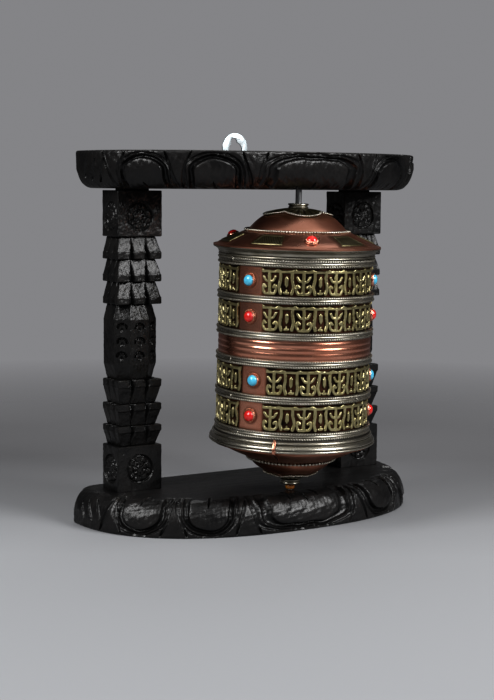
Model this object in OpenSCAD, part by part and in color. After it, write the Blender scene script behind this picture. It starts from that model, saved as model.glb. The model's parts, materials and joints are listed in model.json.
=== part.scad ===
// Wall or table prayer wheel: a sheet-metal drum that turns on a steel rod
// between two carved half-oval boards joined by two carved pillars.
// Millimetres. +Z is up, -Y is the front, +Y is the wall side.
// The origin is the middle of the base board's underside.

/* [Boards] */
// Width of both boards along the back edge
board_w = 220; // [200:1:240]
// Depth of both boards from the back edge to the middle of the front
board_d = 88; // [80:1:96]
// Thickness of the base board
base_t = 20.6; // [18:0.2:24]
// Thickness of the top board
top_t = 21.4; // [18:0.2:24]
// Fullness of the front curve, where 2 is an ellipse
board_fullness = 2.4; // [2:0.1:3]
// How far the carved edge runs in over the inner face
edge_run = 10; // [6:0.5:14]
// Height that the carved edge takes
edge_rise = 15; // [8:0.5:16]
// How far the top board sits to the right of the base and in front of it
top_shift = [1.5, 1.6]; // [0:0.1:3]

/* [Pillars] */
// Height of the space between the boards
gap_h = 175.2; // [165:0.2:185]
// Distance from the middle to each pillar
pillar_x = 78.7; // [72:0.1:84]
// Distance from the back edge to the pillars' middle
pillar_back = 19.2; // [16:0.2:24]
// Pillar size across the front
pillar_w = 28.8; // [24:0.2:32]
// Pillar size from front to back
pillar_d = 20; // [16:0.2:24]
// Height of the square block at each end of a pillar
block_h = 26.4; // [22:0.2:28]
// Heights of the three flared tiers above the lower block
low_tiers = [11.8, 12.8, 14.1]; // [10:0.1:15]
// Heights of the three flared tiers below the upper block
high_tiers = [13, 13, 13]; // [10:0.1:15]
// How far a tier is cut in at its narrow end
tier_cut = 2.7; // [1:0.1:4]
// How far the middle of the pillar is cut in
waist_cut = 0.5; // [0.5:0.1:3]
// Depth of the notches that split each tier into petals
notch_depth = 2.4; // [0.5:0.1:3]

/* [Spindle] */
// Distance from the back edge to the rod at the base
spindle_back = 68.4; // [64:0.2:72]
// How far the rod's top hole is to the right of its bottom hole and in front of it
spindle_lean = [1.2, 4.1]; // [0:0.1:5]
// Rod radius
rod_r = 1.8; // [1.5:0.1:2.2]
// Radial running clearance of the ferrules and beads on the rod
run_gap = 0.05; // [0.02:0.01:0.1]

/* [Drum] */
// Outer radius of the copper shell
shell_r = 43.6; // [40:0.2:44]
// Thickness of the sheet metal
sheet_t = 0.8; // [0.5:0.1:1.2]
// Height of the drum's lower rim above the table
drum_z = 50.5; // [49:0.5:53]
// Height of one wire band
wire_band_h = 4.6; // [4:0.1:5]
// Height of one row of relief panels
row_h = 15.6; // [14:0.1:16]
// Height of the plain ribbed band
centre_band_h = 10.8; // [9:0.1:12]
// Height of the lower rim moulding
foot_moulding_h = 6.9; // [6.9:0.1:8]
// Height of the upper rim moulding
head_moulding_h = 5.4; // [5.2:0.1:6]
// Radius of the flared rims
rim_r = 48.4; // [48:0.2:50]

/* [Ornament] */
// Panels and cabochons in each row
panels = 3; // [2:1:3]
// Angle that one panel covers
panel_deg = 99; // [70:1:102]
// Radius of a cabochon
gem_r = 3.2; // [2.5:0.1:3.6]
// Direction of the first cabochon in each row, from the top row down
gem_dirs = [200.2, 201.2, 205.7, 203.5]; // [0:0.1:360]
// Direction of the first coral on the upper lid
lid_gem_dir = 247.9; // [0:0.1:360]
// Direction of the first lobe of the brass calyxes
lobe_dir = 250.9; // [0:0.1:360]
// Direction of the copper clip that ties the lower lid to the drum
clip_dir = 224.7; // [0:0.1:360]

/* [Hanger] */
// Radius of the plate's round head
plate_r = 8.9; // [8:0.1:10]
// Height of the plate's head above the top board
plate_up = 3.8; // [2:0.1:5]
// Radius of the round hole of the keyhole
keyhole_r = 4.7; // [3.5:0.1:5]
// Radius of the slot of the keyhole
slot_r = 2.1; // [1.5:0.1:2.5]
// Thickness of the plate
plate_t = 1; // [0.8:0.1:1.5]
// How far the plate is turned from upright
plate_tilt = 13; // [0:1:20]

/* [Hidden] */
$fn = 96;
top_z = base_t + gap_h;
total_z = top_z + top_t;
back_y = board_d / 2;
pillar_y = back_y - pillar_back;
foot = [0, back_y - spindle_back, base_t];
head = foot + [spindle_lean.x, -spindle_lean.y, gap_h];
axis = (head - foot) / norm(head - foot);
lean_deg = acos(axis.z);
lean_about = cross([0, 0, 1], axis);
bore_r = rod_r + run_gap;

// Heights of the drum's courses, from the bottom up
z_foot_top = drum_z + foot_moulding_h;
course_h = wire_band_h + row_h;
z_centre = z_foot_top + 2 * course_h + wire_band_h;
z_upper = z_centre + centre_band_h;
z_head = z_upper + 2 * course_h + wire_band_h;
z_rim = z_head + head_moulding_h;
row_z = [z_upper + wire_band_h + course_h, z_upper + wire_band_h,
         z_foot_top + wire_band_h + course_h, z_foot_top + wire_band_h];
band_z = [z_head - wire_band_h, z_upper + course_h, z_upper,
          z_centre - wire_band_h, z_foot_top + course_h, z_foot_top];

// Outer outlines of the two lids as [radius, height], from the rod outwards
LID = [for (p = [[4, 21.3], [8, 21], [13, 20.1], [18, 18.2], [21.5, 16.2], [24.5, 13.7],
                 [26.9, 11.2], [28.4, 9.2], [28.8, 8.5], [31, 8.3], [34.5, 6.7], [38, 5.2],
                 [41.5, 3.8], [45, 2.1], [47, 0.8], [rim_r, 0.8]]) [p.x, z_rim + p.y]];
LID_SEAT = 9;
LID_PANEL = 10;
LOWER_LID = [for (p = [[4, 22.8], [8, 21.5], [12, 19.9], [16, 17.9], [18.8, 16.3], [21, 14.8],
                       [23.2, 12.6], [24.3, 10.6], [24.6, 9.5], [26.6, 9.3], [30, 7.8],
                       [36, 5.2], [41, 2.6], [43, 0.8], [46.4, 0.8]]) [p.x, drum_z - p.y]];
LOWER_SEAT = 8;

// ---------- helpers ----------

// Places its children on the rod's axis, which leans a little
module on_spindle() {
    translate(foot) rotate(a = lean_deg, v = lean_about) translate([0, 0, -base_t]) children();
}

// A turned ring from an outline of [radius, height] points
module turned(points) {
    rotate_extrude() polygon(points);
}

// A turned sheet: an outline thickened along the axis by t
module turned_sheet(points, t) {
    inner = [for (i = [len(points) - 1 : -1 : 0]) points[i] + [0, t]];
    turned(concat(points, inner));
}

module ring(r_in, r_out, z, h) {
    translate([0, 0, z]) difference() {
        cylinder(r = r_out, h = h);
        translate([0, 0, -1]) cylinder(r = r_in, h = h + 2);
    }
}

module wire_ring(r, z, wire_r) {
    translate([0, 0, z]) rotate_extrude() translate([r, 0]) circle(wire_r);
}

// Height of an outline at a radius
function height_at(points, r) = lookup(r, points);

// ---------- frame ----------

CORNER_R = 6;
FRONT_STEPS = 56;
CORNER_STEPS = 6;
EDGE_STEPS = 7;

// A solid from a stack of level outlines with the same number of points, from the bottom up
module stack(levels) {
    n = len(levels[0]);
    top = len(levels) - 1;
    points = [for (level = levels) each level];
    sides = [for (k = [0 : top - 1]) for (i = [0 : n - 1]) let (j = (i + 1) % n)
        each [[k * n + i, k * n + n + i, k * n + n + j], [k * n + i, k * n + n + j, k * n + j]]];
    polyhedron(points, concat([[for (i = [0 : n - 1]) i]], sides,
        [[for (i = [n - 1 : -1 : 0]) top * n + i]]), convexity = 6);
}

function signed_pow(x, e) = sign(x) * pow(abs(x), e);

function corner(side, from, x) = [for (i = [0 : CORNER_STEPS]) let (a = from + 90 * i / CORNER_STEPS)
    [side * x + CORNER_R * cos(a), back_y - CORNER_R + CORNER_R * sin(a)]];

// Plan of a board at one level: a flat back, round back corners and a full curved front
function board_plan(inset) = let (rx = board_w / 2 - inset, ry = board_d - CORNER_R - inset) concat(
    corner(1, 0, rx - CORNER_R), corner(-1, 90, rx - CORNER_R),
    [for (i = [1 : FRONT_STEPS - 1]) let (a = 180 + 180 * i / FRONT_STEPS)
        [rx * signed_pow(cos(a), 2 / board_fullness),
         back_y - CORNER_R + ry * signed_pow(sin(a), 2 / board_fullness)]]);

function at_level(plan, z) = [for (p = plan) [p.x, p.y, z]];

// A board of thickness t with its carved edge rounding over towards +Z
module board_blank(t) {
    rise = min(edge_rise, t - 2);
    stack(concat([at_level(board_plan(0), 0)],
        [for (i = [0 : EDGE_STEPS]) let (a = 90 * i / EDGE_STEPS)
            at_level(board_plan(edge_run * (1 - cos(a))), t - rise + rise * sin(a))]));
}

ROD_SOCKET = 12;
TENON = [16, 11, 9];
GLUE_GAP = 0.1;
NECK = 1;

module at_pillars() {
    for (side = [-1, 1]) translate([side * pillar_x, pillar_y, 0]) children();
}

module tenon(gap) {
    translate([-TENON.x / 2 - gap, -TENON.y / 2 - gap, -1])
        cube([TENON.x + 2 * gap, TENON.y + 2 * gap, TENON.z + 1 + 3 * gap]);
}

module rod_socket(z) {
    on_spindle() translate([0, 0, z - ROD_SOCKET]) cylinder(r = rod_r, h = 2 * ROD_SOCKET);
}

module base_board() {
    color("#171514") difference() {
        board_blank(base_t);
        at_pillars() translate([0, 0, base_t]) mirror([0, 0, 1]) tenon(GLUE_GAP);
        rod_socket(base_t);
    }
}

module top_board() {
    color("#171514") difference() {
        translate([top_shift.x, -top_shift.y, total_z]) mirror([0, 0, 1]) board_blank(top_t);
        at_pillars() translate([0, 0, top_z]) tenon(GLUE_GAP);
        rod_socket(top_z);
        on_hanger() {
            translate([0, HOLE_AT, -4]) cylinder(r = keyhole_r + 0.8, h = 5);
            at_screws() translate([0, 0, -THREAD - 0.5]) cylinder(r = SCREW_R, h = THREAD + 2);
        }
    }
}

SOFT = 0.5;
SOFT_CORNER = [SOFT, SOFT];
LEDGE = 0.3;

// Plan of a pillar at one height: its back is flat, its sides and front are cut in,
// and corner is what comes off each front corner along x and along y
function pillar_plan(z, cut, corner = SOFT_CORNER) =
    let (x = pillar_w / 2 - cut, front = cut - pillar_d / 2, back = pillar_d / 2)
    [[x, front + corner.y, z], [x, back - SOFT, z], [x - SOFT, back, z], [SOFT - x, back, z],
     [-x, back - SOFT, z], [-x, front + corner.y, z], [corner.x - x, front, z], [x - corner.x, front, z]];

// Levels of one tier that flares from z_0 to z_1, in either direction, after a ledge that slopes a little
function tier(z_0, z_1) = [pillar_plan(z_0 + sign(z_1 - z_0) * LEDGE, tier_cut),
    pillar_plan(z_1 - 0.32 * (z_1 - z_0), 0.3), pillar_plan(z_1, 0)];

function flip(levels) = [for (i = [len(levels) - 1 : -1 : 0]) levels[i]];

function sum(list, n) = n == 0 ? 0 : list[n - 1] + sum(list, n - 1);

z_low = base_t + block_h;
z_high = top_z - NECK - block_h;
low_z = [for (i = [0 : 3]) z_low + sum(low_tiers, i)];
high_z = [for (i = [0 : 3]) z_high - sum(high_tiers, 3 - i)];

// Two V-shaped notches on the front and the sides of a tier, widest at its lip
module tier_notches(z_0, z_1) {
    h = abs(z_1 - z_0);
    half = 1.9;
    slope = atan2(tier_cut, h);
    for (face = [[0, pillar_d, pillar_w], [90, pillar_w, pillar_d], [270, pillar_w, pillar_d]])
        for (side = [-1, 1])
            translate([0, 0, z_0]) mirror([0, 0, z_1 > z_0 ? 0 : 1]) rotate(face[0])
                translate([side * face[2] / 6, -face[1] / 2 + tier_cut, 0]) rotate([slope, 0, 0])
                    translate([0, 0, 1]) rotate([90, 0, 0]) translate([0, 0, -notch_depth])
                        linear_extrude(2 * notch_depth)
                            polygon([[0, 0], [half, h + 2], [-half, h + 2]]);
}

module pillar() {
    corner = [7.9, 6];
    difference() {
        union() {
            stack(concat(
                [pillar_plan(base_t, 0), pillar_plan(low_z[0], 0)],
                [for (i = [0 : 2]) each tier(low_z[i], low_z[i + 1])],
                [pillar_plan(low_z[3] + LEDGE, tier_cut, corner * 0.84),
                 pillar_plan(low_z[3] + 8.5, waist_cut, corner),
                 pillar_plan(high_z[0] - 8.5, waist_cut, corner),
                 pillar_plan(high_z[0] - LEDGE, tier_cut, corner * 0.84)],
                [for (i = [0 : 2]) each flip(tier(high_z[i + 1], high_z[i]))],
                [pillar_plan(high_z[3], 0), pillar_plan(top_z - NECK, 0)]));
            translate([-TENON.x / 2, -TENON.y / 2, top_z - NECK - 1])
                cube([TENON.x, TENON.y, NECK + TENON.z]);
            translate([-TENON.x / 2, -TENON.y / 2, base_t - TENON.z])
                cube([TENON.x, TENON.y, TENON.z + 1]);
        }
        for (i = [0 : 2]) {
            tier_notches(low_z[i], low_z[i + 1]);
            tier_notches(high_z[i + 1], high_z[i]);
        }
    }
}

module left_pillar() {
    color("#171514") translate([-pillar_x, pillar_y, 0]) pillar();
}

module right_pillar() {
    color("#171514") translate([pillar_x, pillar_y, 0]) pillar();
}

module spindle_rod() {
    end_gap = 0.5;
    color("#8d8f92") on_spindle() translate([0, 0, base_t - ROD_SOCKET + end_gap])
        cylinder(r = rod_r, h = norm(head - foot) + 2 * (ROD_SOCKET - end_gap) - 1);
}

// ---------- hanger ----------

TAIL = 15;
TAIL_R = 5.5;
HOLE_AT = -1.5;
SLOT_AT = 4;
SCREW_AT = [8.8, 15.6];
SCREW_R = 1.1;
THREAD = 9;

// Puts its children on the top board's back face, with +Z out of the board and +Y up
module on_hanger() {
    translate([-0.1 + top_shift.x, back_y - top_shift.y, total_z + plate_up])
        rotate([-90, 0, 0]) rotate(180 - plate_tilt) children();
}

module at_screws() {
    for (y = SCREW_AT) translate([0, -y, 0]) children();
}

// A plate with a round head, a smaller round tail and straight sides between them
module plate_blank() {
    a = asin((plate_r - TAIL_R) / TAIL);
    cylinder(r = plate_r, h = plate_t);
    translate([0, -TAIL, 0]) cylinder(r = TAIL_R, h = plate_t);
    linear_extrude(plate_t) polygon([
        [plate_r * cos(a), -plate_r * sin(a)], [-plate_r * cos(a), -plate_r * sin(a)],
        [-TAIL_R * cos(a), -TAIL_R * sin(a) - TAIL], [TAIL_R * cos(a), -TAIL_R * sin(a) - TAIL]]);
}

module hanger_plate() {
    h = plate_t + 2;
    color("#c9d3d6") on_hanger() difference() {
        plate_blank();
        translate([0, HOLE_AT, -1]) cylinder(r = keyhole_r, h = h);
        translate([-slot_r, HOLE_AT, -1]) cube([2 * slot_r, SLOT_AT - HOLE_AT, h]);
        translate([0, SLOT_AT, -1]) cylinder(r = slot_r, h = h);
        at_screws() translate([0, 0, -1]) cylinder(r = SCREW_R + 0.1, h = h);
    }
}

module hanger_screws() {
    head_h = 1.1;
    head_r = 2.2;
    color("#9b9fa1") on_hanger() at_screws() difference() {
        union() {
            translate([0, 0, -THREAD]) cylinder(r = SCREW_R, h = THREAD + plate_t + 0.1);
            translate([0, 0, plate_t]) cylinder(r1 = head_r, r2 = 0.75 * head_r, h = head_h);
        }
        translate([-head_r, -0.3, plate_t + 0.5]) cube([2 * head_r, 0.6, head_h]);
    }
}

// ---------- drum ----------

module drum_shell() {
    color("#b5673f") on_spindle() ring(shell_r - sheet_t, shell_r, drum_z, z_rim - drum_z);
}

module upper_lid() {
    color("#b5673f") on_spindle() turned_sheet(LID, -sheet_t);
}

module lower_lid() {
    color("#b5673f") on_spindle() turned_sheet(LOWER_LID, sheet_t);
}

FERRULE_R = 6;
FERRULE_H = 2.6;
STUB_R = 3.9;
CALYX_T = 0.55;

// A flanged bush: its flange is outside a lid at z and its stub goes through the lid towards -dir
module ferrule(z, dir) {
    stub = 4;
    on_spindle() translate([0, 0, z]) mirror([0, 0, dir > 0 ? 0 : 1]) difference() {
        union() {
            cylinder(r = FERRULE_R, h = FERRULE_H);
            translate([0, 0, -stub]) cylinder(r = STUB_R, h = stub + 1);
        }
        translate([0, 0, -stub - 1]) cylinder(r = bore_r, h = stub + FERRULE_H + 2);
        translate([0, 0, FERRULE_H - 1]) cylinder(r = FERRULE_R - 1.4, h = 2);
    }
}

module upper_ferrule() {
    color("#a9a69b") ferrule(LID[0].y + CALYX_T, 1);
}

module lower_ferrule() {
    color("#a9a69b") ferrule(LOWER_LID[0].y - CALYX_T, -1);
}

// Radius of the four-lobed edge of a calyx in one direction
function lobe_r(a, low, high) = low + (high - low) * pow(abs(cos(2 * (a - lobe_dir))), 0.8);

// A lobed sheet that lies on a lid's outline, on the side that dir says
module calyx(points, dir, low, high) {
    clear = 0.05;
    outline = [for (p = points) if (p.x < high + 4) p + [0, dir * clear]];
    on_spindle() intersection() {
        turned_sheet(outline, dir * (CALYX_T - clear));
        linear_extrude(2 * total_z) polygon([for (a = [0 : 4 : 356])
            lobe_r(a, low, high) * [cos(a), sin(a)]]);
    }
}

module upper_calyx() {
    color("#8a7a3c") calyx(LID, 1, 14.5, 20.5);
}

module lower_calyx() {
    color("#8a7a3c") calyx(LOWER_LID, -1, 11.5, 16.5);
}

module upper_lid_wire() {
    color("#b0aea6") on_spindle() wire_ring(30, LID[LID_SEAT].y + 0.92, 0.8);
}

module lower_lid_wire() {
    color("#b0aea6") on_spindle() wire_ring(25.6, LOWER_LID[LOWER_SEAT].y - 0.92, 0.9);
}

module head_moulding() {
    z = z_head;
    color("#a9a69b") on_spindle() turned([[shell_r, z], [45, z], [45.4, z + 0.4], [45.4, z + 1],
        [44.9, z + 1.4], [45.2, z + 2.4], [46, z + 3.6], [47, z + 4.5], [rim_r, z + 5.1],
        [rim_r, z_rim], [shell_r, z_rim]]);
}

module foot_moulding() {
    z = drum_z;
    color("#a9a69b") on_spindle() turned([[shell_r, z], [47.6, z], [48.3, z + 0.5], [48.5, z + 1.4],
        [48.2, z + 2.4], [47.4, z + 3.1], [46.4, z + 3.6], [46.3, z + 4.2], [46.8, z + 4.9],
        [46.5, z + 5.8], [45.5, z + 6.3], [45.2, z_foot_top], [shell_r, z_foot_top]]);
}

// A copper strip hooked over the lower rim, along an outline that clears the moulding
module lid_clip() {
    z = drum_z;
    path = [[45.4, z + 7.2], [47.3, z + 5.6], [49, z + 2.6], [49, z - 0.2], [46.8, z - 1.6],
            [42, z - 2.8], [36, z - 5.6], [33, height_at(LOWER_LID, 33) - 0.05]];
    t = 0.6;
    outer = [for (p = path) p + (p.y > z ? [t, 0] : [0.3, -t])];
    width_deg = 3;
    color("#b5673f") on_spindle() rotate(clip_dir - width_deg / 2) rotate_extrude(angle = width_deg)
        polygon(concat(path, [for (i = [len(path) - 1 : -1 : 0]) outer[i]]));
}

// A flat strip with two round wires along it
module wire_band(z) {
    strip_t = 1;
    wire_r = 0.6;
    color("#a9a69b") on_spindle() union() {
        ring(shell_r, shell_r + strip_t, z, wire_band_h);
        for (side = [-1, 1])
            wire_ring(shell_r + strip_t + 0.3, z + wire_band_h / 2 + side * 1.25, wire_r);
    }
}

// Curved plates that carry the relief of one row
module relief_row(row) {
    edge = 0.15;
    relief_t = 0.9;
    first = gem_dirs[row] + (360 / panels - panel_deg) / 2;
    color("#9c8a48") on_spindle() for (i = [0 : panels - 1])
        rotate(first + 360 * i / panels) rotate_extrude(angle = panel_deg)
            translate([shell_r, row_z[row] + edge]) square([relief_t, row_h - 2 * edge]);
}

// Three shallow ribs on a strip
module centre_band() {
    rib_h = 3.2;
    rib_out = 0.5;
    edge = (centre_band_h - 3 * rib_h) / 2;
    base_r = shell_r + 0.4;
    ribs = [for (i = [0 : 2]) for (a = [0 : 30 : 180])
        [base_r + rib_out * sin(a), z_centre + edge + (i + 0.5 - cos(a) / 2) * rib_h]];
    color("#c0764e") on_spindle() turned(concat([[shell_r, z_centre], [base_r, z_centre]], ribs,
        [[base_r, z_upper], [shell_r, z_upper]]));
}

BEZEL_T = 0.6;
BEZEL_H = 1.8;

// Turns +Z outwards from the drum in one direction, at a height
module on_drum_side(direction, z) {
    rotate(direction) translate([shell_r, 0, z]) rotate([0, 90, 0]) children();
}

// A ring for a cabochon, which starts at sink under its seat
module bezel(sink) {
    difference() {
        translate([0, 0, -sink]) cylinder(r = gem_r + BEZEL_T, h = BEZEL_H + sink);
        translate([0, 0, -sink - 1]) cylinder(r = gem_r, h = BEZEL_H + sink + 2);
    }
}

// A low dome that stands on its seat, where seat is how far it starts above it
module cabochon(seat) {
    rise = 2.9;
    dome_r = (gem_r * gem_r + rise * rise) / (2 * rise);
    clear = 0.02;
    translate([0, 0, seat]) intersection() {
        translate([0, 0, rise - dome_r]) sphere(dome_r);
        cylinder(r = gem_r - clear, h = rise + 1);
    }
}

// Places its children at the seats between the panels of a row
module at_seats(row) {
    on_spindle() for (i = [0 : panels - 1])
        on_drum_side(gem_dirs[row] + 360 * i / panels, row_z[row] + row_h / 2) children();
}

module row_bezels(row) {
    color("#a8623f") difference() {
        at_seats(row) bezel(1);
        on_spindle() translate([0, 0, row_z[row]]) cylinder(r = shell_r, h = row_h);
    }
}

module row_gems(row, tint) {
    color(tint) at_seats(row) cabochon(0.4);
}

LID_GEM_R = 39.5;
LID_SLOPE = atan2(LID[LID_PANEL + 1].y - LID[LID_PANEL + 2].y, LID[LID_PANEL + 2].x - LID[LID_PANEL + 1].x);

// Puts its children on the upper lid's skirt, square to its slope
module on_skirt(direction) {
    rotate(direction) translate([LID_GEM_R, 0, height_at(LID, LID_GEM_R)]) rotate([0, LID_SLOPE, 0])
        children();
}

module lid_bezels() {
    color("#a8623f") on_spindle() for (i = [0 : 2]) on_skirt(lid_gem_dir + 120 * i)
        translate([0, 0, 0.12]) bezel(0);
}

module lid_corals() {
    color("#c8231c") on_spindle() for (i = [0 : 2]) on_skirt(lid_gem_dir + 120 * i) cabochon(0.5);
}

// Six brass plates on the skirt, two between each pair of corals
module lid_panels() {
    clear = 0.06;
    panel_a = 25;
    from_gem = 35;
    leaf_t = 0.5;
    span = [for (i = [LID_PANEL : LID_PANEL + 3]) LID[i] + [0, clear]];
    color("#8a7a3c") on_spindle() for (i = [0 : 2]) for (side = [-1, 1])
        rotate(lid_gem_dir + 120 * i + side * from_gem - panel_a / 2) rotate_extrude(angle = panel_a)
            polygon(concat(span, [for (i = [3 : -1 : 0]) span[i] + [0, leaf_t]]));
}

// ---------- inside the drum ----------

CORE_R = 8;

module roll_core() {
    color("#b98f5c") on_spindle() ring(STUB_R + 0.1, CORE_R, drum_z - 20.5, z_rim - drum_z + 40.5);
}

module prayer_roll() {
    color("#e6dcc0") on_spindle() ring(CORE_R, shell_r - sheet_t - 1, drum_z + 2, z_rim - drum_z - 4);
}

// ---------- bead under the drum ----------

z_bead = base_t + 0.35;
bead_h = 2.9;
washer_h = 0.8;

module thrust_washer() {
    color("#b0aea6") on_spindle() ring(bore_r, 3.3, z_bead + bead_h + 0.05, washer_h);
}

module thrust_bead() {
    r = 2.8;
    color("#a8641c") on_spindle() difference() {
        translate([0, 0, z_bead]) intersection() {
            translate([0, 0, bead_h / 2]) sphere(r);
            cylinder(r = r, h = bead_h);
        }
        cylinder(r = bore_r, h = 2 * base_t);
    }
}

base_board();
top_board();
left_pillar();
right_pillar();
spindle_rod();
hanger_plate();
hanger_screws();
drum_shell();
upper_lid();
lower_lid();
upper_ferrule();
lower_ferrule();
upper_calyx();
lower_calyx();
upper_lid_wire();
lower_lid_wire();
head_moulding();
foot_moulding();
lid_clip();
wire_band(band_z[0]);  // wire_band_1
wire_band(band_z[1]);  // wire_band_2
wire_band(band_z[2]);  // wire_band_3
wire_band(band_z[3]);  // wire_band_4
wire_band(band_z[4]);  // wire_band_5
wire_band(band_z[5]);  // wire_band_6
relief_row(0);  // relief_row_1
relief_row(1);  // relief_row_2
relief_row(2);  // relief_row_3
relief_row(3);  // relief_row_4
centre_band();
row_bezels(0);  // bezels_row_1
row_bezels(1);  // bezels_row_2
row_bezels(2);  // bezels_row_3
row_bezels(3);  // bezels_row_4
row_gems(0, "#3fa6cf");  // turquoise_row_1
row_gems(1, "#c8231c");  // coral_row_2
row_gems(2, "#3fa6cf");  // turquoise_row_3
row_gems(3, "#c8231c");  // coral_row_4
lid_bezels();
lid_corals();
lid_panels();
roll_core();
prayer_roll();
thrust_washer();
thrust_bead();
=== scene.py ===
import json
import math

import bmesh
import bpy
import numpy as np
from mathutils import Matrix, Vector


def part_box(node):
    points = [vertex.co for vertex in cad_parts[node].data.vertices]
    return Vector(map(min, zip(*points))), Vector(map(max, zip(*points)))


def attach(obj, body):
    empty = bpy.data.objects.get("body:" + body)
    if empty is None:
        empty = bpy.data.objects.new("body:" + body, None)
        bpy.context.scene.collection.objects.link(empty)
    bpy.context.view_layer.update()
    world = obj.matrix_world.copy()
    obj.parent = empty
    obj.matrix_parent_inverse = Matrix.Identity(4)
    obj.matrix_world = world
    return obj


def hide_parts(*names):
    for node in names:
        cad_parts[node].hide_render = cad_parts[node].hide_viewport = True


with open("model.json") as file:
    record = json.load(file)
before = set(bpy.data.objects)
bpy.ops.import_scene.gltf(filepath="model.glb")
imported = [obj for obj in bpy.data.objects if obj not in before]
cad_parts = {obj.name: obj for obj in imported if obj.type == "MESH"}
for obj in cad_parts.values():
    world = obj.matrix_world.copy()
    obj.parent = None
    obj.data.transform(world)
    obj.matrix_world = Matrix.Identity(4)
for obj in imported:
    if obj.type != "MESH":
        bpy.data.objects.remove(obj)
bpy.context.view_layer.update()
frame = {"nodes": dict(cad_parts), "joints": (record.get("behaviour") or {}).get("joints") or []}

# -------- sizes, in millimetres
MM = 0.001


def box_mm(node):
    lo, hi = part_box(node)
    return np.array(lo) / MM, np.array(hi) / MM


base_lo, base_hi = box_mm("base_board")
top_lo, top_hi = box_mm("top_board")
pillar_lo, pillar_hi = box_mm("left_pillar")
BOARD_W, BOARD_D = base_hi[0] - base_lo[0], base_hi[1] - base_lo[1]
BACK_Y = base_hi[1]
BASE_T, TOP_Z, TOTAL_Z = base_hi[2], top_lo[2], top_hi[2]
TOP_SHIFT = (top_lo[0] - base_lo[0], top_lo[1] - base_lo[1])
# The boards' front is a superellipse of this power, and its edge rounds over by this run and rise
FULLNESS, CORNER_R = 2.4, 6.0
EDGE_RUN, EDGE_RISE = 10.0, 15.0

# Radii of the drum, and heights from the table up while it stands upright
SHELL_R, RIM_R, DRUM_Z = 43.6, 48.4, 50.5
FOOT_MOULDING_H, HEAD_MOULDING_H = 6.9, 5.4
BAND_H, ROW_H, CENTRE_H = 4.6, 15.6, 10.8
COURSE_H = BAND_H + ROW_H
Z_FOOT = DRUM_Z + FOOT_MOULDING_H
Z_CENTRE = Z_FOOT + 2 * COURSE_H + BAND_H
Z_UPPER = Z_CENTRE + CENTRE_H
Z_HEAD = Z_UPPER + 2 * COURSE_H + BAND_H
Z_RIM = Z_HEAD + HEAD_MOULDING_H
ROW_Z = [Z_UPPER + BAND_H + COURSE_H, Z_UPPER + BAND_H, Z_FOOT + BAND_H + COURSE_H, Z_FOOT + BAND_H]
BAND_Z = [Z_HEAD - BAND_H, Z_UPPER + COURSE_H, Z_UPPER, Z_CENTRE - BAND_H, Z_FOOT + COURSE_H, Z_FOOT]
PANELS, PANEL_DEG, RELIEF_R = 3, 99.0, 44.4
GEM_R = 3.2
# Directions in degrees, from +X: of one cabochon in each row from the top down, and of what is on the lids
GEM_DIRS = [200.2, 201.2, 205.7, 203.5]
LID_GEM_DIR, LID_GEM_R, LOBE_DIR, CLIP_DIR = 247.9, 39.5, 250.9, 224.7
ROD_R, BORE_R, STUB_R, FERRULE_R, FERRULE_H = 1.8, 1.85, 3.9, 6.0, 2.6
SHEET_T = 0.8

# Outlines of the lids as (radius, height), from the rod outwards
LID = [(r, Z_RIM + z) for r, z in (
    (4, 21.3), (8, 21), (13, 20.1), (18, 18.2), (21.5, 16.2), (24.5, 13.7), (26.9, 11.2), (28.4, 9.2),
    (28.8, 8.5), (31, 8.3), (34.5, 6.7), (38, 5.2), (41.5, 3.8), (45, 2.1), (47, 0.8), (RIM_R, 0.8))]
LOWER_LID = [(r, DRUM_Z - z) for r, z in (
    (4, 22.8), (8, 21.5), (12, 19.9), (16, 17.9), (18.8, 16.3), (21, 14.8), (23.2, 12.6), (24.3, 10.6),
    (24.6, 9.5), (26.6, 9.3), (30, 7.8), (36, 5.2), (41, 2.6), (43, 0.8), (46.4, 0.8))]

spin = next(j for j in frame["joints"] if j["name"] == "drum_spin")
foot, axis = Vector(spin["pos_m"]), Vector(spin["axis"])
# From the upright drum, with its axis on x = y = 0 and heights from the table, to its place on the rod
SPINDLE = (Matrix.Translation(foot) @ Vector((0, 0, 1)).rotation_difference(axis).to_matrix().to_4x4()
           @ Matrix.Translation((0, 0, -foot.z)))


# -------- small maths
def wobble(x, y, size, seed):
    """Smooth irregularity between about -1 and 1, whose bumps are about size across."""
    rng = np.random.default_rng(seed)
    total = np.zeros(np.broadcast(x, y).shape)
    for _ in range(7):
        a, phase, k = rng.uniform(0, 2 * np.pi), rng.uniform(0, 2 * np.pi), rng.uniform(0.6, 1.5)
        total = total + np.sin(2 * np.pi * k * (x * np.cos(a) + y * np.sin(a)) / size + phase)
    return total / 4


def smooth(edge0, edge1, x):
    """A soft step from 0 at one edge to 1 at the other."""
    t = np.clip((x - edge0) / (edge1 - edge0), 0, 1)
    return t * t * (3 - 2 * t)


def spline(points, per_step):
    """A smooth open curve through the points."""
    p = np.asarray(points, float)
    ends = np.vstack([2 * p[0] - p[1], p, 2 * p[-1] - p[-2]])
    t = np.linspace(0, 1, per_step, endpoint=False)[:, None]
    out = []
    for a, b, c, d in zip(ends, ends[1:], ends[2:], ends[3:]):
        bend, twist = 2 * a - 5 * b + 4 * c - d, 3 * b - a - 3 * c + d
        out.append(0.5 * (2 * b + (c - a) * t + bend * t**2 + twist * t**3))
    return np.vstack(out + [p[-1:]])


def on_outline(points, r):
    """Height of a lid's outline at a radius."""
    p = np.asarray(points, float)
    return np.interp(r, p[:, 0], p[:, 1])


def circle(n):
    """n even angles once round, from 0."""
    return np.linspace(0, 2 * np.pi, n, endpoint=False)


def polar(r, a, z):
    """Points at radius r, angle a and height z."""
    return np.stack([r * np.cos(a), r * np.sin(a), z + 0 * a], -1)


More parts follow.
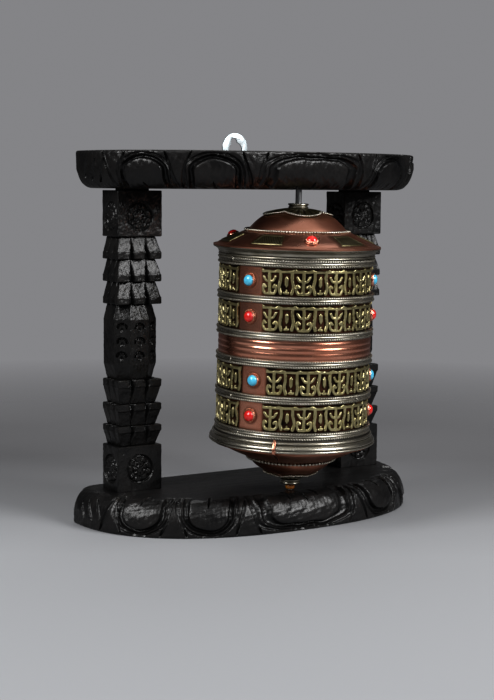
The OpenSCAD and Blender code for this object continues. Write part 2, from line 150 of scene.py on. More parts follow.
def distances(line):
    """Distance of each point along a line from its first point."""
    return np.concatenate([[0], np.cumsum(np.hypot(*np.diff(line, axis=0).T))])


def grid(rows, cols, wrap_rows=False, wrap_cols=False):
    """Quads of a grid of points that is stored row by row."""
    r, c = np.meshgrid(np.arange(rows if wrap_rows else rows - 1), np.arange(cols if wrap_cols else cols - 1),
                       indexing="ij")
    r1, c1 = (r + 1) % rows, (c + 1) % cols
    return np.stack([r * cols + c, r * cols + c1, r1 * cols + c1, r1 * cols + c], -1).reshape(-1, 4)


def tube(rows, cols):
    """Faces of a closed wall of rings, with a face across each end."""
    return [list(q) for q in grid(rows, cols, False, True)] + [
        [row * cols + i for i in range(cols)] for row in (0, rows - 1)]


# -------- pieces
def add(name, data):
    """A new object in the scene."""
    obj = bpy.data.objects.new(name, data)
    bpy.context.scene.collection.objects.link(obj)
    return obj


def piece(name, part, finish, body, node, place=None, crease=35):
    """A mesh piece that replaces a node. A part is its points in millimetres, its faces, and for most parts
    the recess of each point, which is 0 where it is proud and 1 deep in the relief."""
    mesh = bpy.data.meshes.new(name)
    points, faces, *recess = part
    points = np.asarray(points, float).reshape(-1, 3) * MM
    if place is not None:
        m = np.array(place)
        points = points @ m[:3, :3].T + m[:3, 3]
    mesh.from_pydata(points.tolist(), [], [list(map(int, f)) for f in faces])
    if recess:
        values = mesh.attributes.new("recess", "FLOAT", "POINT")
        values.data.foreach_set("value", np.clip(np.asarray(recess[0], float).ravel(), 0, 1))
    bm = bmesh.new()
    bm.from_mesh(mesh)
    bmesh.ops.recalc_face_normals(bm, faces=bm.faces)
    bm.to_mesh(mesh)
    bm.free()
    mesh.polygons.foreach_set("use_smooth", [True] * len(mesh.polygons))
    mesh.set_sharp_from_angle(angle=math.radians(crease))
    mesh.materials.append(finish)
    obj = add(name, mesh)
    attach(obj, body)
    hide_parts(node)


def joined(parts):
    """Several (points, faces, recess) meshes as one."""
    points, faces, recess, n = [], [], [], 0
    for part in parts:
        p = np.asarray(part[0], float).reshape(-1, 3)
        points.append(p)
        faces.extend([[i + n for i in f] for f in part[1]])
        recess.append(np.ravel(part[2]) if len(part) > 2 else np.zeros(len(p)))
        n += len(p)
    return np.vstack(points), faces, np.concatenate(recess)


def placed(part, matrix):
    """A part moved by a matrix in millimetres."""
    m = np.array(matrix)
    p = np.asarray(part[0], float).reshape(-1, 3) @ m[:3, :3].T + m[:3, 3]
    return (p,) + tuple(part[1:])


def turned(profile, steps=288, wave=0.0, seed=0, recess=None):
    """A closed outline of (radius, height) turned about the drum's axis, with a slight hand-made wave."""
    p = np.asarray(profile, float)
    a = circle(steps)[None, :]
    r, z = p[:, :1], p[:, 1:]
    swell = (np.sin(3 * a + seed + z / 30) + 0.6 * np.sin(5 * a + 2.1 * seed - z / 18)) / 1.6
    deep = np.zeros(len(p)) if recess is None else np.asarray(recess, float)
    return polar(r + wave * (swell - 1), a, z), grid(len(p), steps, True, True), np.repeat(deep, steps)


def sheet(outline, t, per_step=6, **options):
    """A turned sheet whose visible outline is smooth; t thickens it along the axis."""
    line = spline(outline, per_step)
    return turned(np.vstack([line, line[::-1] + (0, t)]), **options)


def rope(radius, z, wire, dot, twist=1, section=8, per_dot=6):
    """A twisted two-strand wire round the drum. dot is the spacing of its beads of light."""
    dots = int(round(2 * math.pi * radius / dot / 2)) * 2
    n = dots * per_dot
    a, psi = circle(n)[:, None], circle(section)[None, :]
    lobes = np.abs(np.cos(psi - twist * a * dots / 2))
    w = wire * (0.42 + 0.58 * lobes**0.7)
    points = polar(radius + w * np.cos(psi), a, z + w * np.sin(psi))
    # Painted shade: the recess darkens the valleys between the strands' lobes, leaving each lobe bright
    return points, grid(n, section, True, True), 1 - lobes**2.2


def blob(centre, size, n=12):
    """An egg shape. Its recess grows towards both ends along y."""
    a, b = np.meshgrid(circle(n), np.linspace(-1.5, 1.5, n // 2 + 2))
    girth = np.cos(b)
    p = np.stack([size[0] * girth * np.cos(a), size[1] * girth * np.sin(a), size[2] * np.sin(b)], -1)
    # Painted shade: the recess darkens it towards both ends along y, where one bead meets the next
    return p + centre, grid(n // 2 + 2, n, False, True), 1.1 * (p[..., 1] / size[1]) ** 4


# -------- finishes
def rgb(r, g, b):
    return (r, g, b, 1.0)


class Finish:
    """A node material that is built a step at a time."""

    def __init__(self, name, **sockets):
        self.material = bpy.data.materials.new(name)
        self.material.use_nodes = True
        self.tree = self.material.node_tree
        self.shader = self.tree.nodes["Principled BSDF"]
        for key, value in sockets.items():
            self.shader.inputs[key.replace("_", " ")].default_value = value
        self.place = self.node("ShaderNodeTexCoord").outputs["Object"]

    def node(self, kind, inputs=None, **settings):
        n = self.tree.nodes.new(kind)
        for key, value in settings.items():
            setattr(n, key, value)
        for key, value in (inputs or {}).items():
            if isinstance(value, bpy.types.NodeSocket):
                self.tree.links.new(value, n.inputs[key])
            else:
                n.inputs[key].default_value = value
        return n

    def stretched(self, scale):
        return self.node("ShaderNodeMapping", {"Vector": self.place, "Scale": scale}).outputs["Vector"]

    def noise(self, scale, detail=4.0, rough=0.55, stretch=(1, 1, 1)):
        inputs = {"Vector": self.stretched(stretch), "Scale": scale, "Detail": detail, "Roughness": rough}
        return self.node("ShaderNodeTexNoise", inputs).outputs["Fac"]

    def recess(self):
        return self.node("ShaderNodeAttribute", attribute_name="recess").outputs["Fac"]

    def between(self, value, low, high, out_low=0.0, out_high=1.0):
        return self.node("ShaderNodeMapRange", {"Value": value, "From Min": low, "From Max": high,
                                                "To Min": out_low, "To Max": out_high}).outputs["Result"]

    def times(self, a, b):
        return self.node("ShaderNodeMath", {0: a, 1: b}, operation="MULTIPLY").outputs["Value"]

    def plus(self, a, b):
        return self.node("ShaderNodeMath", {0: a, 1: b}, operation="ADD").outputs["Value"]

    def mix(self, amount, a, b):
        n = self.node("ShaderNodeMix", data_type="RGBA")
        for socket, value in ((n.inputs[0], amount), (n.inputs[6], a), (n.inputs[7], b)):
            if isinstance(value, bpy.types.NodeSocket):
                self.tree.links.new(value, socket)
            else:
                socket.default_value = value
        return n.outputs[2]

    def bump(self, height, strength, depth_mm, under=None):
        inputs = {"Height": height, "Strength": strength, "Distance": depth_mm * MM}
        if under is not None:
            inputs["Normal"] = under
        return self.node("ShaderNodeBump", inputs).outputs["Normal"]

    def set(self, **links):
        for key, value in links.items():
            self.tree.links.new(value, self.shader.inputs[key.replace("_", " ")])
        return self.material


def black_wood(name, along):
    """Black paint over carved wood. along is the direction of the grain, 0 for X and 2 for Z."""
    f = Finish(name, Specular_IOR_Level=0.15, Coat_Weight=0.32, Coat_Roughness=0.12)
    grain = [260.0, 260.0, 260.0]
    grain[along] = 12.0
    fibres = f.noise(1.0, 6, 0.65, tuple(grain))
    blotch = f.noise(55.0, 5, 0.6)
    base = f.mix(f.between(blotch, 0.35, 0.7), rgb(0.0030, 0.0029, 0.0030), rgb(0.0075, 0.0068, 0.0064))
    worn = f.times(f.between(f.noise(170.0, 6, 0.75), 0.60, 0.72), f.between(blotch, 0.48, 0.66))
    base = f.mix(f.times(worn, 0.45), base, rgb(0.040, 0.017, 0.010))
    # Painted shade: the recess makes the carved grooves darker still
    base = f.mix(f.recess(), base, rgb(0.0018, 0.0017, 0.0017))
    gloss = f.between(f.plus(f.times(fibres, 0.6), f.times(blotch, 0.4)), 0.3, 0.7, 0.34, 0.64)
    normal = f.bump(fibres, 0.5, 0.30)
    normal = f.bump(f.noise(850.0, 5, 0.65), 0.75, 0.22, normal)
    normal = f.bump(f.noise(120.0, 2, 0.5), 0.3, 0.6, normal)
    return f.set(Base_Color=base, Roughness=gloss, Normal=normal, Coat_Normal=normal)


def copper(name, streak=True, tarnish_and_shade=0.35, rough=(0.17, 0.29), light=rgb(0.80, 0.40, 0.28),
           shade=rgb(0.55, 0.22, 0.14)):
    """Polished copper with cloudy tarnish. With streak it has the fine rings of spinning."""
    f = Finish(name, Metallic=1.0)
    cloud = f.noise(38.0, 5, 0.6)
    base = f.mix(f.between(cloud, 0.3, 0.72), light, shade)
    spots = f.between(f.noise(150.0, 6, 0.7), 0.62, 0.74)
    base = f.mix(f.times(spots, tarnish_and_shade), base, rgb(0.17, 0.075, 0.04))
    # The recess darkens it to brown and then to near black: dark oxide behind the relief and by the lid
    # plates, and painted shade in crevices, beside other parts and over the lower lid
    base = f.mix(f.between(f.recess(), 0.0, 0.55), base, rgb(0.16, 0.07, 0.04))
    base = f.mix(f.between(f.recess(), 0.5, 1.0, 0.0, 0.97), base, rgb(0.012, 0.009, 0.007))
    rough = f.plus(f.between(cloud, 0.3, 0.7, *rough), f.times(f.recess(), 0.25))
    lines = f.noise(1.0, 3, 0.6, (25.0, 25.0, 1400.0) if streak else (400.0, 400.0, 400.0))
    normal = f.bump(lines, 0.04, 0.04)
    normal = f.bump(f.noise(60.0, 2, 0.5), 0.10, 0.6, normal)
    return f.set(Base_Color=base, Roughness=rough, Normal=normal)


def brass(name, light, shade):
    """Aged brass, olive and worn bright on top, almost black deep in the relief."""
    f = Finish(name, Metallic=1.0)
    cloud = f.noise(160.0, 6, 0.65)
    base = f.mix(f.between(cloud, 0.32, 0.68), light, shade)
    base = f.mix(f.between(f.noise(520.0, 4, 0.7), 0.56, 0.76), base, rgb(0.10, 0.075, 0.028))
    base = f.mix(f.between(f.recess(), 0.12, 0.85), base, rgb(0.013, 0.010, 0.007))
    rough = f.plus(f.between(cloud, 0.3, 0.7, 0.26, 0.42), f.times(f.recess(), 0.35))
    normal = f.bump(f.noise(700.0, 4, 0.6), 0.25, 0.14)
    normal = f.bump(f.noise(240.0, 2, 0.5), 0.25, 0.3, normal)
    return f.set(Base_Color=base, Roughness=rough, Normal=normal)


def white_metal(name, dark=0.95, light=rgb(0.54, 0.51, 0.44), shade=rgb(0.27, 0.245, 0.19)):
    """Warm grey white metal, black in its grooves and between its beads and strands: partly its own dark
    oxide and partly painted shade.
    """
    f = Finish(name, Metallic=1.0)
    cloud = f.noise(70.0, 5, 0.65)
    base = f.mix(f.between(cloud, 0.3, 0.72), light, shade)
    rings = f.between(f.noise(1.0, 4, 0.6, (90.0, 90.0, 420.0)), 0.55, 0.75)
    base = f.mix(f.times(rings, 0.45), base, rgb(0.13, 0.11, 0.085))
    oxide_and_shade = f.times(f.between(f.recess(), 0.25, 0.9), dark)
    base = f.mix(oxide_and_shade, base, rgb(0.012, 0.010, 0.009))
    rough = f.plus(f.between(cloud, 0.3, 0.7, 0.20, 0.34), f.times(f.recess(), 0.3))
    normal = f.bump(f.noise(260.0, 3, 0.6), 0.08, 0.08)
    return f.set(Base_Color=base, Roughness=rough, Normal=normal)


def stone(name, light, shade, vein):
    """A polished opaque stone in two tones with fine veins."""
    f = Finish(name, Roughness=0.16, Coat_Weight=0.5, Coat_Roughness=0.06)
    base = f.mix(f.between(f.noise(420.0, 4, 0.6), 0.35, 0.7), light, shade)
    base = f.mix(f.times(f.between(f.noise(900.0, 5, 0.7), 0.62, 0.72), 0.5), base, vein)
    return f.set(Base_Color=base, Normal=f.bump(f.noise(500.0, 2, 0.5), 0.1, 0.08))


def plain_metal(name, light, shade, rough, stretch):
    """Steel or zinc with fine marks, whose direction comes from the stretch of their noise."""
    f = Finish(name, Metallic=1.0)
    cloud = f.noise(220.0, 5, 0.65)
    base = f.mix(f.between(cloud, 0.3, 0.7), light, shade)
    normal = f.bump(f.noise(1.0, 4, 0.6, stretch), 0.12, 0.08)
    return f.set(Base_Color=base, Roughness=f.between(cloud, 0.3, 0.7, *rough), Normal=normal)


def layered(name, light, shade, noise, relief, rough):
    """Paper or bare wood: two tones in fine layers or grain, which also stand out."""
    f = Finish(name, Roughness=rough)
    layers = f.noise(1.0, *noise)
    return f.set(Base_Color=f.mix(layers, light, shade), Normal=f.bump(layers, relief, 0.2))


def amber():
    f = Finish("amber", Roughness=0.14, IOR=1.54, Transmission_Weight=0.35, Coat_Weight=0.3)
    cloud = f.between(f.noise(600.0, 3), 0.3, 0.7)
    return f.set(Base_Color=f.mix(cloud, rgb(0.62, 0.26, 0.03), rgb(0.34, 0.09, 0.012)))


BOARD_WOOD = black_wood("black_wood_along_x", 0)
PILLAR_WOOD = black_wood("black_wood_along_z", 2)
COPPER = copper("polished_copper")
# The lids' copper is rougher than the polished copper, and its tones are darker as painted shade
COPPER_LID = copper("lid_copper_shaded", rough=(0.24, 0.38), light=rgb(0.58, 0.275, 0.19),
                    shade=rgb(0.36, 0.14, 0.085))
COPPER_SHELL = copper("copper_behind_relief", tarnish_and_shade=0.7)
COPPER_TRIM = copper("copper_trim", streak=False, tarnish_and_shade=0.2)
BRASS = brass("aged_brass", rgb(0.56, 0.50, 0.28), rgb(0.33, 0.28, 0.13))
BRASS_DARK = brass("dark_brass", rgb(0.20, 0.175, 0.095), rgb(0.07, 0.06, 0.03))
SILVER = white_metal("white_metal")
# A darker copy of the white metal for the head moulding under the lid's rim, as painted shade
SILVER_SHADED = white_metal("white_metal_shaded", light=rgb(0.46, 0.43, 0.36), shade=rgb(0.20, 0.18, 0.13))
SILVER_WIRE = white_metal("white_metal_wire", 1.0)
STEEL = plain_metal("steel_rod", rgb(0.50, 0.50, 0.50), rgb(0.26, 0.26, 0.27), (0.22, 0.38),
                    (900.0, 900.0, 40.0))
ZINC = plain_metal("bright_zinc", rgb(0.44, 0.48, 0.50), rgb(0.36, 0.41, 0.43), (0.34, 0.46),
                   (600.0, 600.0, 600.0))
TURQUOISE = stone("turquoise", rgb(0.10, 0.52, 0.74), rgb(0.055, 0.37, 0.58), rgb(0.03, 0.18, 0.28))
CORAL = stone("coral", rgb(0.68, 0.022, 0.016), rgb(0.44, 0.010, 0.010), rgb(0.75, 0.12, 0.09))
AMBER = amber()
PAPER = layered("rolled_paper", rgb(0.70, 0.62, 0.44), rgb(0.82, 0.76, 0.60),
                (3, 0.5, (1800.0, 1800.0, 40.0)), 0.4, 0.85)
RAW_WOOD = layered("raw_wood", rgb(0.55, 0.38, 0.20), rgb(0.38, 0.24, 0.11),
                   (5, 0.6, (500.0, 500.0, 25.0)), 0.3, 0.7)
for node, finish in (("roll_core", RAW_WOOD), ("prayer_roll", PAPER)):
    frame["nodes"][node].data.materials.clear()
    frame["nodes"][node].data.materials.append(finish)


# -------- boards
FRONT_STEPS, BACK_STEPS, INNER_STEPS = 800, 80, 12
BACK_ARC = 1e4  # the arc length given to the plain back, far from all carving
# Carved lobes round the front edge as (middle, half width, drop), and the pairs of leaves between them
LOBES = [(0.0, 27.0, 8.5)] + [(side * c, 13.2, 9.5) for c in (62.0, 103.0) for side in (-1, 1)]
SPLAYS = [side * c for c in (38.6, 82.6, 122.0) for side in (-1, 1)]


def board_ring(inset):
    """Outline of a board at one level, from the left end along the front to the right end and back behind,
    and its arc length from the middle of the front."""
    t = np.linspace(math.pi, 2 * math.pi, 6001)
    rx, ry = BOARD_W / 2, BOARD_D - CORNER_R
    cos, sin = np.cos(t), np.sin(t)
    shape = lambda a, b: np.stack([a * np.sign(cos) * np.abs(cos) ** (2 / FULLNESS),
                                   BACK_Y - CORNER_R - b * np.abs(sin) ** (2 / FULLNESS)], -1)
    run = distances(shape(rx, ry))
    even = np.linspace(0, run[-1], FRONT_STEPS)
    level = shape(rx - inset, ry - inset)
    front = np.stack([np.interp(even, run, level[:, k]) for k in (0, 1)], -1)
    a = np.linspace(0, math.pi / 2, 12)[1:]
    x = rx - inset - CORNER_R
    right = np.stack([x + CORNER_R * np.cos(a), BACK_Y - CORNER_R + CORNER_R * np.sin(a)], -1)
    back = np.stack([np.linspace(x, -x, BACK_STEPS)[1:-1], np.full(BACK_STEPS - 2, BACK_Y)], -1)
    left = np.stack([-right[::-1, 0], right[::-1, 1]], -1)
    s = even - run[-1] / 2
    corner = np.arange(1, len(right) + 1)
    return np.vstack([front, right, back, left]), np.concatenate([
        s, s[-1] + corner, np.full(BACK_STEPS - 2, BACK_ARC), s[0] - corner[::-1]])


def groove(distance, half, depth):
    """A gouged groove with a round bottom."""
    return depth * np.sqrt(np.clip(1 - (distance / np.maximum(half, 1e-3)) ** 2, 0, 1))


def board_carving(s, h, top, seed):
    """Depth of the carving at arc length s from the middle of the front and at height h up the edge."""
    s = s + 0.8 * wobble(s, h, 26, seed)
    h = h + 0.5 * wobble(s, h, 19, seed + 1)
    fade = smooth(top + 4.5, top + 0.5, h) * smooth(0.5, 2.5, h)
    depth = np.zeros(s.shape)
    lobes = np.full(s.shape, 99.0)
    for centre, half, drop in LOBES:
        low = 4.6 + drop
        x = np.abs(s - centre) / (half * (1 + 0.10 * smooth(low, top, h)))
        y = np.clip(low - h, 0, None) / drop
        power = 2.0 if half < 20 else 2.7
        d = ((x**power + y**power) ** (1 / power) - 1) * min(half, 13)
        lobes = np.minimum(lobes, d)
    depth = np.maximum(depth, groove(lobes, 1.75, 2.6))
    depth = np.maximum(depth, groove(lobes - 3.3, 0.95, 1.3))
    depth = np.maximum(depth, 0.55 * smooth(-3.2, -0.6, lobes) * (lobes < 0))
    depth = np.maximum(depth, 0.35 * smooth(5.2, 3.2, lobes) * (lobes > 0))
    for centre, half, _ in LOBES:
        for offset, long in ((0, 9.5), (-11, 7), (10, 6.5)) if half > 20 else ((0.6, 9.0),):
            along = np.clip((top + 1 - h) / long, 0, 1.2)
            width = 1.25 * np.clip(1 - along, 0, 1) ** 0.6
            lean = 0.18 * (h - top) * (1 if centre >= 0 else -1)
            depth = np.maximum(depth, groove(s - centre - offset + lean, width, 1.5) * (along < 1))
    for centre in SPLAYS:
        for side in (-1, 1):
            fall = np.clip((top - 2.0 - h) / (top - 5.0), 0, 1.1)
            path = centre + side * (0.9 + 6.3 * fall**1.35)
            width = 1.15 * np.clip(4 * fall * (1.08 - fall), 0, 1) ** 0.5
            depth = np.maximum(depth, groove(s - path, width, 1.35) * (lobes > 1.2))
    for side in (-1, 1):
        for start, lean, long in ((132.0, 0.55, 15), (139.5, 0.5, 13), (147.0, 0.45, 11)):
            along = (h - 5.5) / long
            path = side * (start + lean * (h - 12))
            width = 1.2 * np.clip(4 * along * (1 - along), 0, 1) ** 0.7
            depth = np.maximum(depth, groove(s - path, width, 1.25) * (along > 0) * (along < 1))
    return depth * fade


def board(thickness, flip, seed, z_0, shift):
    """A board whose carved edge rounds over towards its inner face."""
    rise = min(EDGE_RISE, thickness - 2)
    steps = [(1.7, 0.0), (1.0, 0.15), (0.45, 0.5), (0.12, 1.0)]
    steps += [(0.0, z) for z in np.linspace(1.7, thickness - rise, 14)]
    steps += [(EDGE_RUN * (1 - math.cos(a)), thickness - rise + rise * math.sin(a))
              for a in np.linspace(0, math.pi / 2, 60)[1:]]
    steps += [(EDGE_RUN + inset, thickness) for inset in np.linspace(0.4, 5.0, INNER_STEPS)]
    run = distances(np.array(steps))
    rings = [board_ring(inset) for inset, _ in steps]
    points = np.stack([np.column_stack([ring, np.full(len(ring), z)])
                       for (ring, _), (_, z) in zip(rings, steps)])
    s = np.broadcast_to(rings[0][1], points.shape[:2])
    h = np.broadcast_to(run[:, None], points.shape[:2])
    top = run[-1 - INNER_STEPS]
    depth = board_carving(s, h, top, seed)
    # Tool marks all over the carved edge
    hand = 0.16 * wobble(s, h, 9, seed + 5) + 0.10 * wobble(s, h, 4, seed + 6)
    marks = np.maximum(0.26 + hand, 0.01) * smooth(top + 4, top - 2, h) * smooth(0.2, 2.5, h)
    depth = depth + np.where((np.abs(s) < 1000) & (h > 0.3), marks, 0)
    normal = np.cross(np.roll(points, -1, 1) - np.roll(points, 1, 1), np.gradient(points, axis=0))
    normal /= np.maximum(np.linalg.norm(normal, axis=-1, keepdims=True), 1e-9)
    moved = points - normal * depth[..., None]
    if flip:
        moved[..., 2] = -moved[..., 2]
    moved = moved + (shift[0], shift[1], z_0)
    return moved, tube(*depth.shape), smooth(0.5, 2.0, depth)


piece("base_board_carved", board(BASE_T, False, 3, 0.0, (0, 0)), BOARD_WOOD, "frame", "base_board")
piece("top_board_carved", board(TOTAL_Z - TOP_Z, True, 11, TOTAL_Z, TOP_SHIFT), BOARD_WOOD, "frame",
      "top_board")

# -------- pillars
PILLAR_W, PILLAR_D = pillar_hi[0] - pillar_lo[0], pillar_hi[1] - pillar_lo[1]
PILLAR_X, PILLAR_Y = -(pillar_lo[0] + pillar_hi[0]) / 2, (pillar_lo[1] + pillar_hi[1]) / 2
BLOCK_H, NECK = 26.4, 1.0
LOW_TIERS, HIGH_TIERS = (11.8, 12.8, 14.1), (13.0, 13.0, 13.0)
LOW_Z = BASE_T + BLOCK_H + np.concatenate([[0], np.cumsum(LOW_TIERS)])
HIGH_Z = TOP_Z - NECK - BLOCK_H - np.concatenate([np.cumsum(HIGH_TIERS)[::-1], [0]])
# How far the faces lie inside the end blocks, the softness of plain corners, and the middle's front corners
TIER_CUT, WAIST_CUT, SOFT = 2.7, 0.5, 0.5
CORNER = np.array([7.9, 6.0])


def pillar_profile():
    """(height, cut, corner along x, corner along y, tier share) up a pillar.
    The share is 0 at a tier's narrow end and 1 at its lip, and -1 outside the tiers."""
    plain = lambda z, cut: (z, cut, SOFT, SOFT, -1)
    rows = [plain(BASE_T, 0.1), plain(BASE_T + 0.3, 0), plain(LOW_Z[0] - 0.4, 0), plain(LOW_Z[0], 0.4)]

    def tier(narrow, lip):
        return [(narrow + share * (lip - narrow), cut, SOFT, SOFT, share) for share, cut in (
            (0.002, TIER_CUT + 0.45), (0.03, TIER_CUT), (0.66, 0.45), (0.71, 0.06), (0.96, 0), (0.998, 0.4))]

    for low, high in zip(LOW_Z, LOW_Z[1:]):
        rows += tier(low, high)
    for end, side in ((LOW_Z[3], 1), (HIGH_Z[0], -1)):
        rows += [(end + side * z, cut, *(CORNER * k), -1) for z, cut, k in (
            (0.02, TIER_CUT + 0.3, 0.82), (0.4, TIER_CUT, 0.84), (8.1, WAIST_CUT + 0.2, 0.98),
            (8.8, WAIST_CUT, 1))]
    for low, high in zip(HIGH_Z, HIGH_Z[1:]):
        rows += tier(high, low)
    rows += [plain(HIGH_Z[3], 0.4), plain(HIGH_Z[3] + 0.4, 0)]
    rows += [plain(TOP_Z - NECK - 0.3, 0), plain(TOP_Z - NECK, 0.3)]
    return np.array(sorted(rows))


def pillar_carving(u, z, width, share, seed, corner=False):
    """Depth of the carving on one face at distance u from its middle and height z."""
    u = u + 0.35 * wobble(u, z, 14, seed)
    depth = np.zeros(u.shape)
    if corner or width > 25:
        # Three small arches down the middle part
        for k in (-1, 0, 1):
            y = z - ((LOW_Z[3] + HIGH_Z[0]) / 2 + 1.0 + 8.3 * k)
            arch = groove(np.hypot(u, y * 1.15 + 1.2) - 2.7, 0.75, 1.4) * (y > -1.6)
            heart = groove(np.hypot(u, (y + 2.2) * 0.8), 1.0, 1.0)
            depth = np.maximum(depth, np.maximum(arch, heart))
    if corner:
        return depth * (share < 0)
    # Two notches in each tier, widest at the lip
    spread = smooth(0.02, 1.0, share)
    for side in (-1, 1):
        across = np.clip(1.25 * (1 - np.abs(u - side * width / 6) / (0.25 + 1.75 * spread)), 0, 1)
        depth = np.maximum(depth, (share > 0.02) * (0.5 + 2.6 * spread) * across**0.8)
    # A rosette on each end block, cut in strokes round a ring
    for middle in (BASE_T + BLOCK_H / 2 - 0.5, TOP_Z - NECK - BLOCK_H / 2 - 1.5):
        v = z - middle
        rho, phi = np.hypot(u, v), np.arctan2(v, u)
        size = min(7.8, width / 2 - 2.0)
        rough = 0.5 + 0.5 * wobble(u, v, 2.4, seed + 3)
        flutes = 0.9 * np.clip(np.cos(9 * phi + 0.6 * wobble(u, v, 6, seed)), 0, 1) * smooth(1.6, 2.4, rho)
        ring = groove(rho - size, 0.75, 1.25) + groove(rho - 0.55 * size, 0.5, 0.9)
        inside = (0.35 + 0.75 * rough) * (flutes + 0.35)
        depth = np.maximum(depth, np.where(rho < size, np.maximum(inside, ring), ring * (rho < size + 0.8)))
    return depth


def pillar(x_0, seed):
    profile = pillar_profile()
    z = np.unique(np.concatenate([profile[:, 0], np.arange(BASE_T + 0.5, TOP_Z - NECK, 0.5)]))
    cut, corner_x, corner_y, share = (np.interp(z, profile[:, 0], profile[:, k])[:, None]
                                      for k in (1, 2, 3, 4))
    x, front, back = PILLAR_W / 2 - cut, cut - PILLAR_D / 2, PILLAR_D / 2 + 0 * cut
    plan = [(x, front + corner_y), (x, back - SOFT), (x - SOFT, back), (SOFT - x, back), (-x, back - SOFT),
            (-x, front + corner_y), (corner_x - x, front), (x - corner_x, front)]
    # The eight faces of the plan: 0 and 4 are the sides, 2 is the back, 6 the front, 5 and 7 its corners
    columns, depths = [], []
    for k, steps in enumerate((44, 2, 40, 2, 44, 26, 66, 26)):
        (x0, y0), (x1, y1) = plan[k], plan[(k + 1) % 8]
        t = np.linspace(0, 1, steps)[None, :]
        px, py = x0 + (x1 - x0) * t, y0 + (y1 - y0) * t
        length = np.hypot(x1 - x0, y1 - y0)
        normal = np.stack([(y1 - y0) / length, -(x1 - x0) / length], -1)
        zz, ss = z[:, None] + 0 * px, share + 0 * px
        u = (t - 0.5) * length
        if k in (0, 4):
            u = py * (1 if k == 0 else -1)
        depth = 0 * px
        if k in (0, 4, 6):
            depth = pillar_carving(u, zz, PILLAR_W if k == 6 else PILLAR_D, ss, seed + k)
            edge = np.clip((length / 2 - np.abs((t - 0.5) * length)) / 1.2, 0, 1)
            depth = depth * np.where(ss > 0, 1, edge)
        elif k in (5, 7):
            depth = pillar_carving(u, zz, length, ss, seed + k, corner=True) * smooth(3.5, 5.5, length)
        hand = 0.13 * wobble(u + 31 * k, zz, 7, seed + 9) + 0.08 * wobble(u + 17 * k, zz, 3, seed + 10)
        move = depth + np.clip(0.16 + hand, 0, 1)
        columns.append(np.stack([px, py], -1) - normal * move[..., None])
        depths.append(depth)
    xy, depth = np.concatenate(columns, 1), np.concatenate(depths, 1)
    xyz = np.concatenate([xy + (x_0, PILLAR_Y), np.repeat(z[:, None], xy.shape[1], 1)[..., None]], -1)
    neck = block((x_0, PILLAR_Y, TOP_Z - NECK / 2), (16, 11, NECK + 1.2))
    return joined([(xyz, tube(*depth.shape), smooth(0.4, 2.2, depth)), neck])


def block(centre, size):
    """A square-edged block, hidden between a pillar and the top board."""
    x, y, z = np.array(size) / 2
    plan = ((-x, -y), (x, -y), (x, y), (-x, y))
    p = np.array([(i, j, k) for k in (-z, z) for i, j in plan]) + centre
    return p, [[3, 2, 1, 0], [4, 5, 6, 7], [0, 1, 5, 4], [1, 2, 6, 5], [2, 3, 7, 6], [3, 0, 4, 7]]


for node, side, seed in (("left_pillar", -1, 21), ("right_pillar", 1, 41)):
    piece(node + "_carved", pillar(side * PILLAR_X, seed), PILLAR_WOOD, "frame", node,
          crease=30)

# -------- rod, hanger and screws
rod_lo, rod_hi = box_mm("spindle_rod")
end_r, rod_foot, rod_top = ROD_R - 0.3, rod_lo[2] + 0.4, rod_hi[2] - 0.5
rod = turned([(0.01, rod_foot), (end_r, rod_foot), (ROD_R, rod_foot + 0.4), (ROD_R, rod_top - 0.4),
              (end_r, rod_top), (0.01, rod_top)], 48)
piece("rod_steel", rod[:2], STEEL, "frame", "spindle_rod", SPINDLE)

PLATE_R, TAIL, TAIL_R, PLATE_T = 8.89, 15.0, 5.5, 1.0
# The hole and the slot lie this far above the plate's middle, and the screws this far below it
KEYHOLE_R, SLOT_R, HOLE_AT, SLOT_AT, SCREW_AT = 4.7, 2.1, -1.5, 4.0, (8.8, 15.6)
PLATE_TILT = math.radians(13)
HANGER = (Matrix.Translation(Vector((-0.1 + TOP_SHIFT[0], BACK_Y + TOP_SHIFT[1], TOTAL_Z + 3.8)) * MM)
          @ Matrix.Rotation(math.radians(-90), 4, "X") @ Matrix.Rotation(math.pi - PLATE_TILT, 4, "Z"))


def arc(centre, r, start, end, n):
    """n points along an arc between two directions in degrees."""
    a = np.radians(np.linspace(start, end, n))
    return np.stack([centre[0] + r * np.cos(a), centre[1] + r * np.sin(a)], -1)


def flat_plate(loops, t, soft):
    """A flat plate with holes and soft edges. The first loop is the outside."""
    bm = bmesh.new()
    edges = []
    for loop in loops:
        corners = [bm.verts.new((x * MM, y * MM, 0)) for x, y in loop]
        edges += [bm.edges.new((a, b)) for a, b in zip(corners, corners[1:] + corners[:1])]
    bmesh.ops.triangle_fill(bm, edges=edges, use_beauty=True)
    bmesh.ops.dissolve_limit(bm, angle_limit=0.01, verts=bm.verts, edges=bm.edges, delimit=set())
    raised = bmesh.ops.extrude_face_region(bm, geom=list(bm.faces))["geom"]
    raised = [v for v in raised if isinstance(v, bmesh.types.BMVert)]
    bmesh.ops.translate(bm, vec=(0, 0, t * MM), verts=raised)
    bmesh.ops.recalc_face_normals(bm, faces=bm.faces)
    flat = lambda e: abs(e.verts[0].co.z - e.verts[1].co.z) < 1e-6
    rims = [e for e in bm.edges if len(e.link_faces) == 2 and flat(e) and e.calc_face_angle() > 1]
    bmesh.ops.bevel(bm, geom=rims, offset=soft * MM, segments=3, profile=0.5, affect="EDGES")
    points = [v.co / MM for v in bm.verts]
    bm.verts.index_update()
    faces = [[v.index for v in f.verts] for f in bm.faces]
    bm.free()
    return points, faces


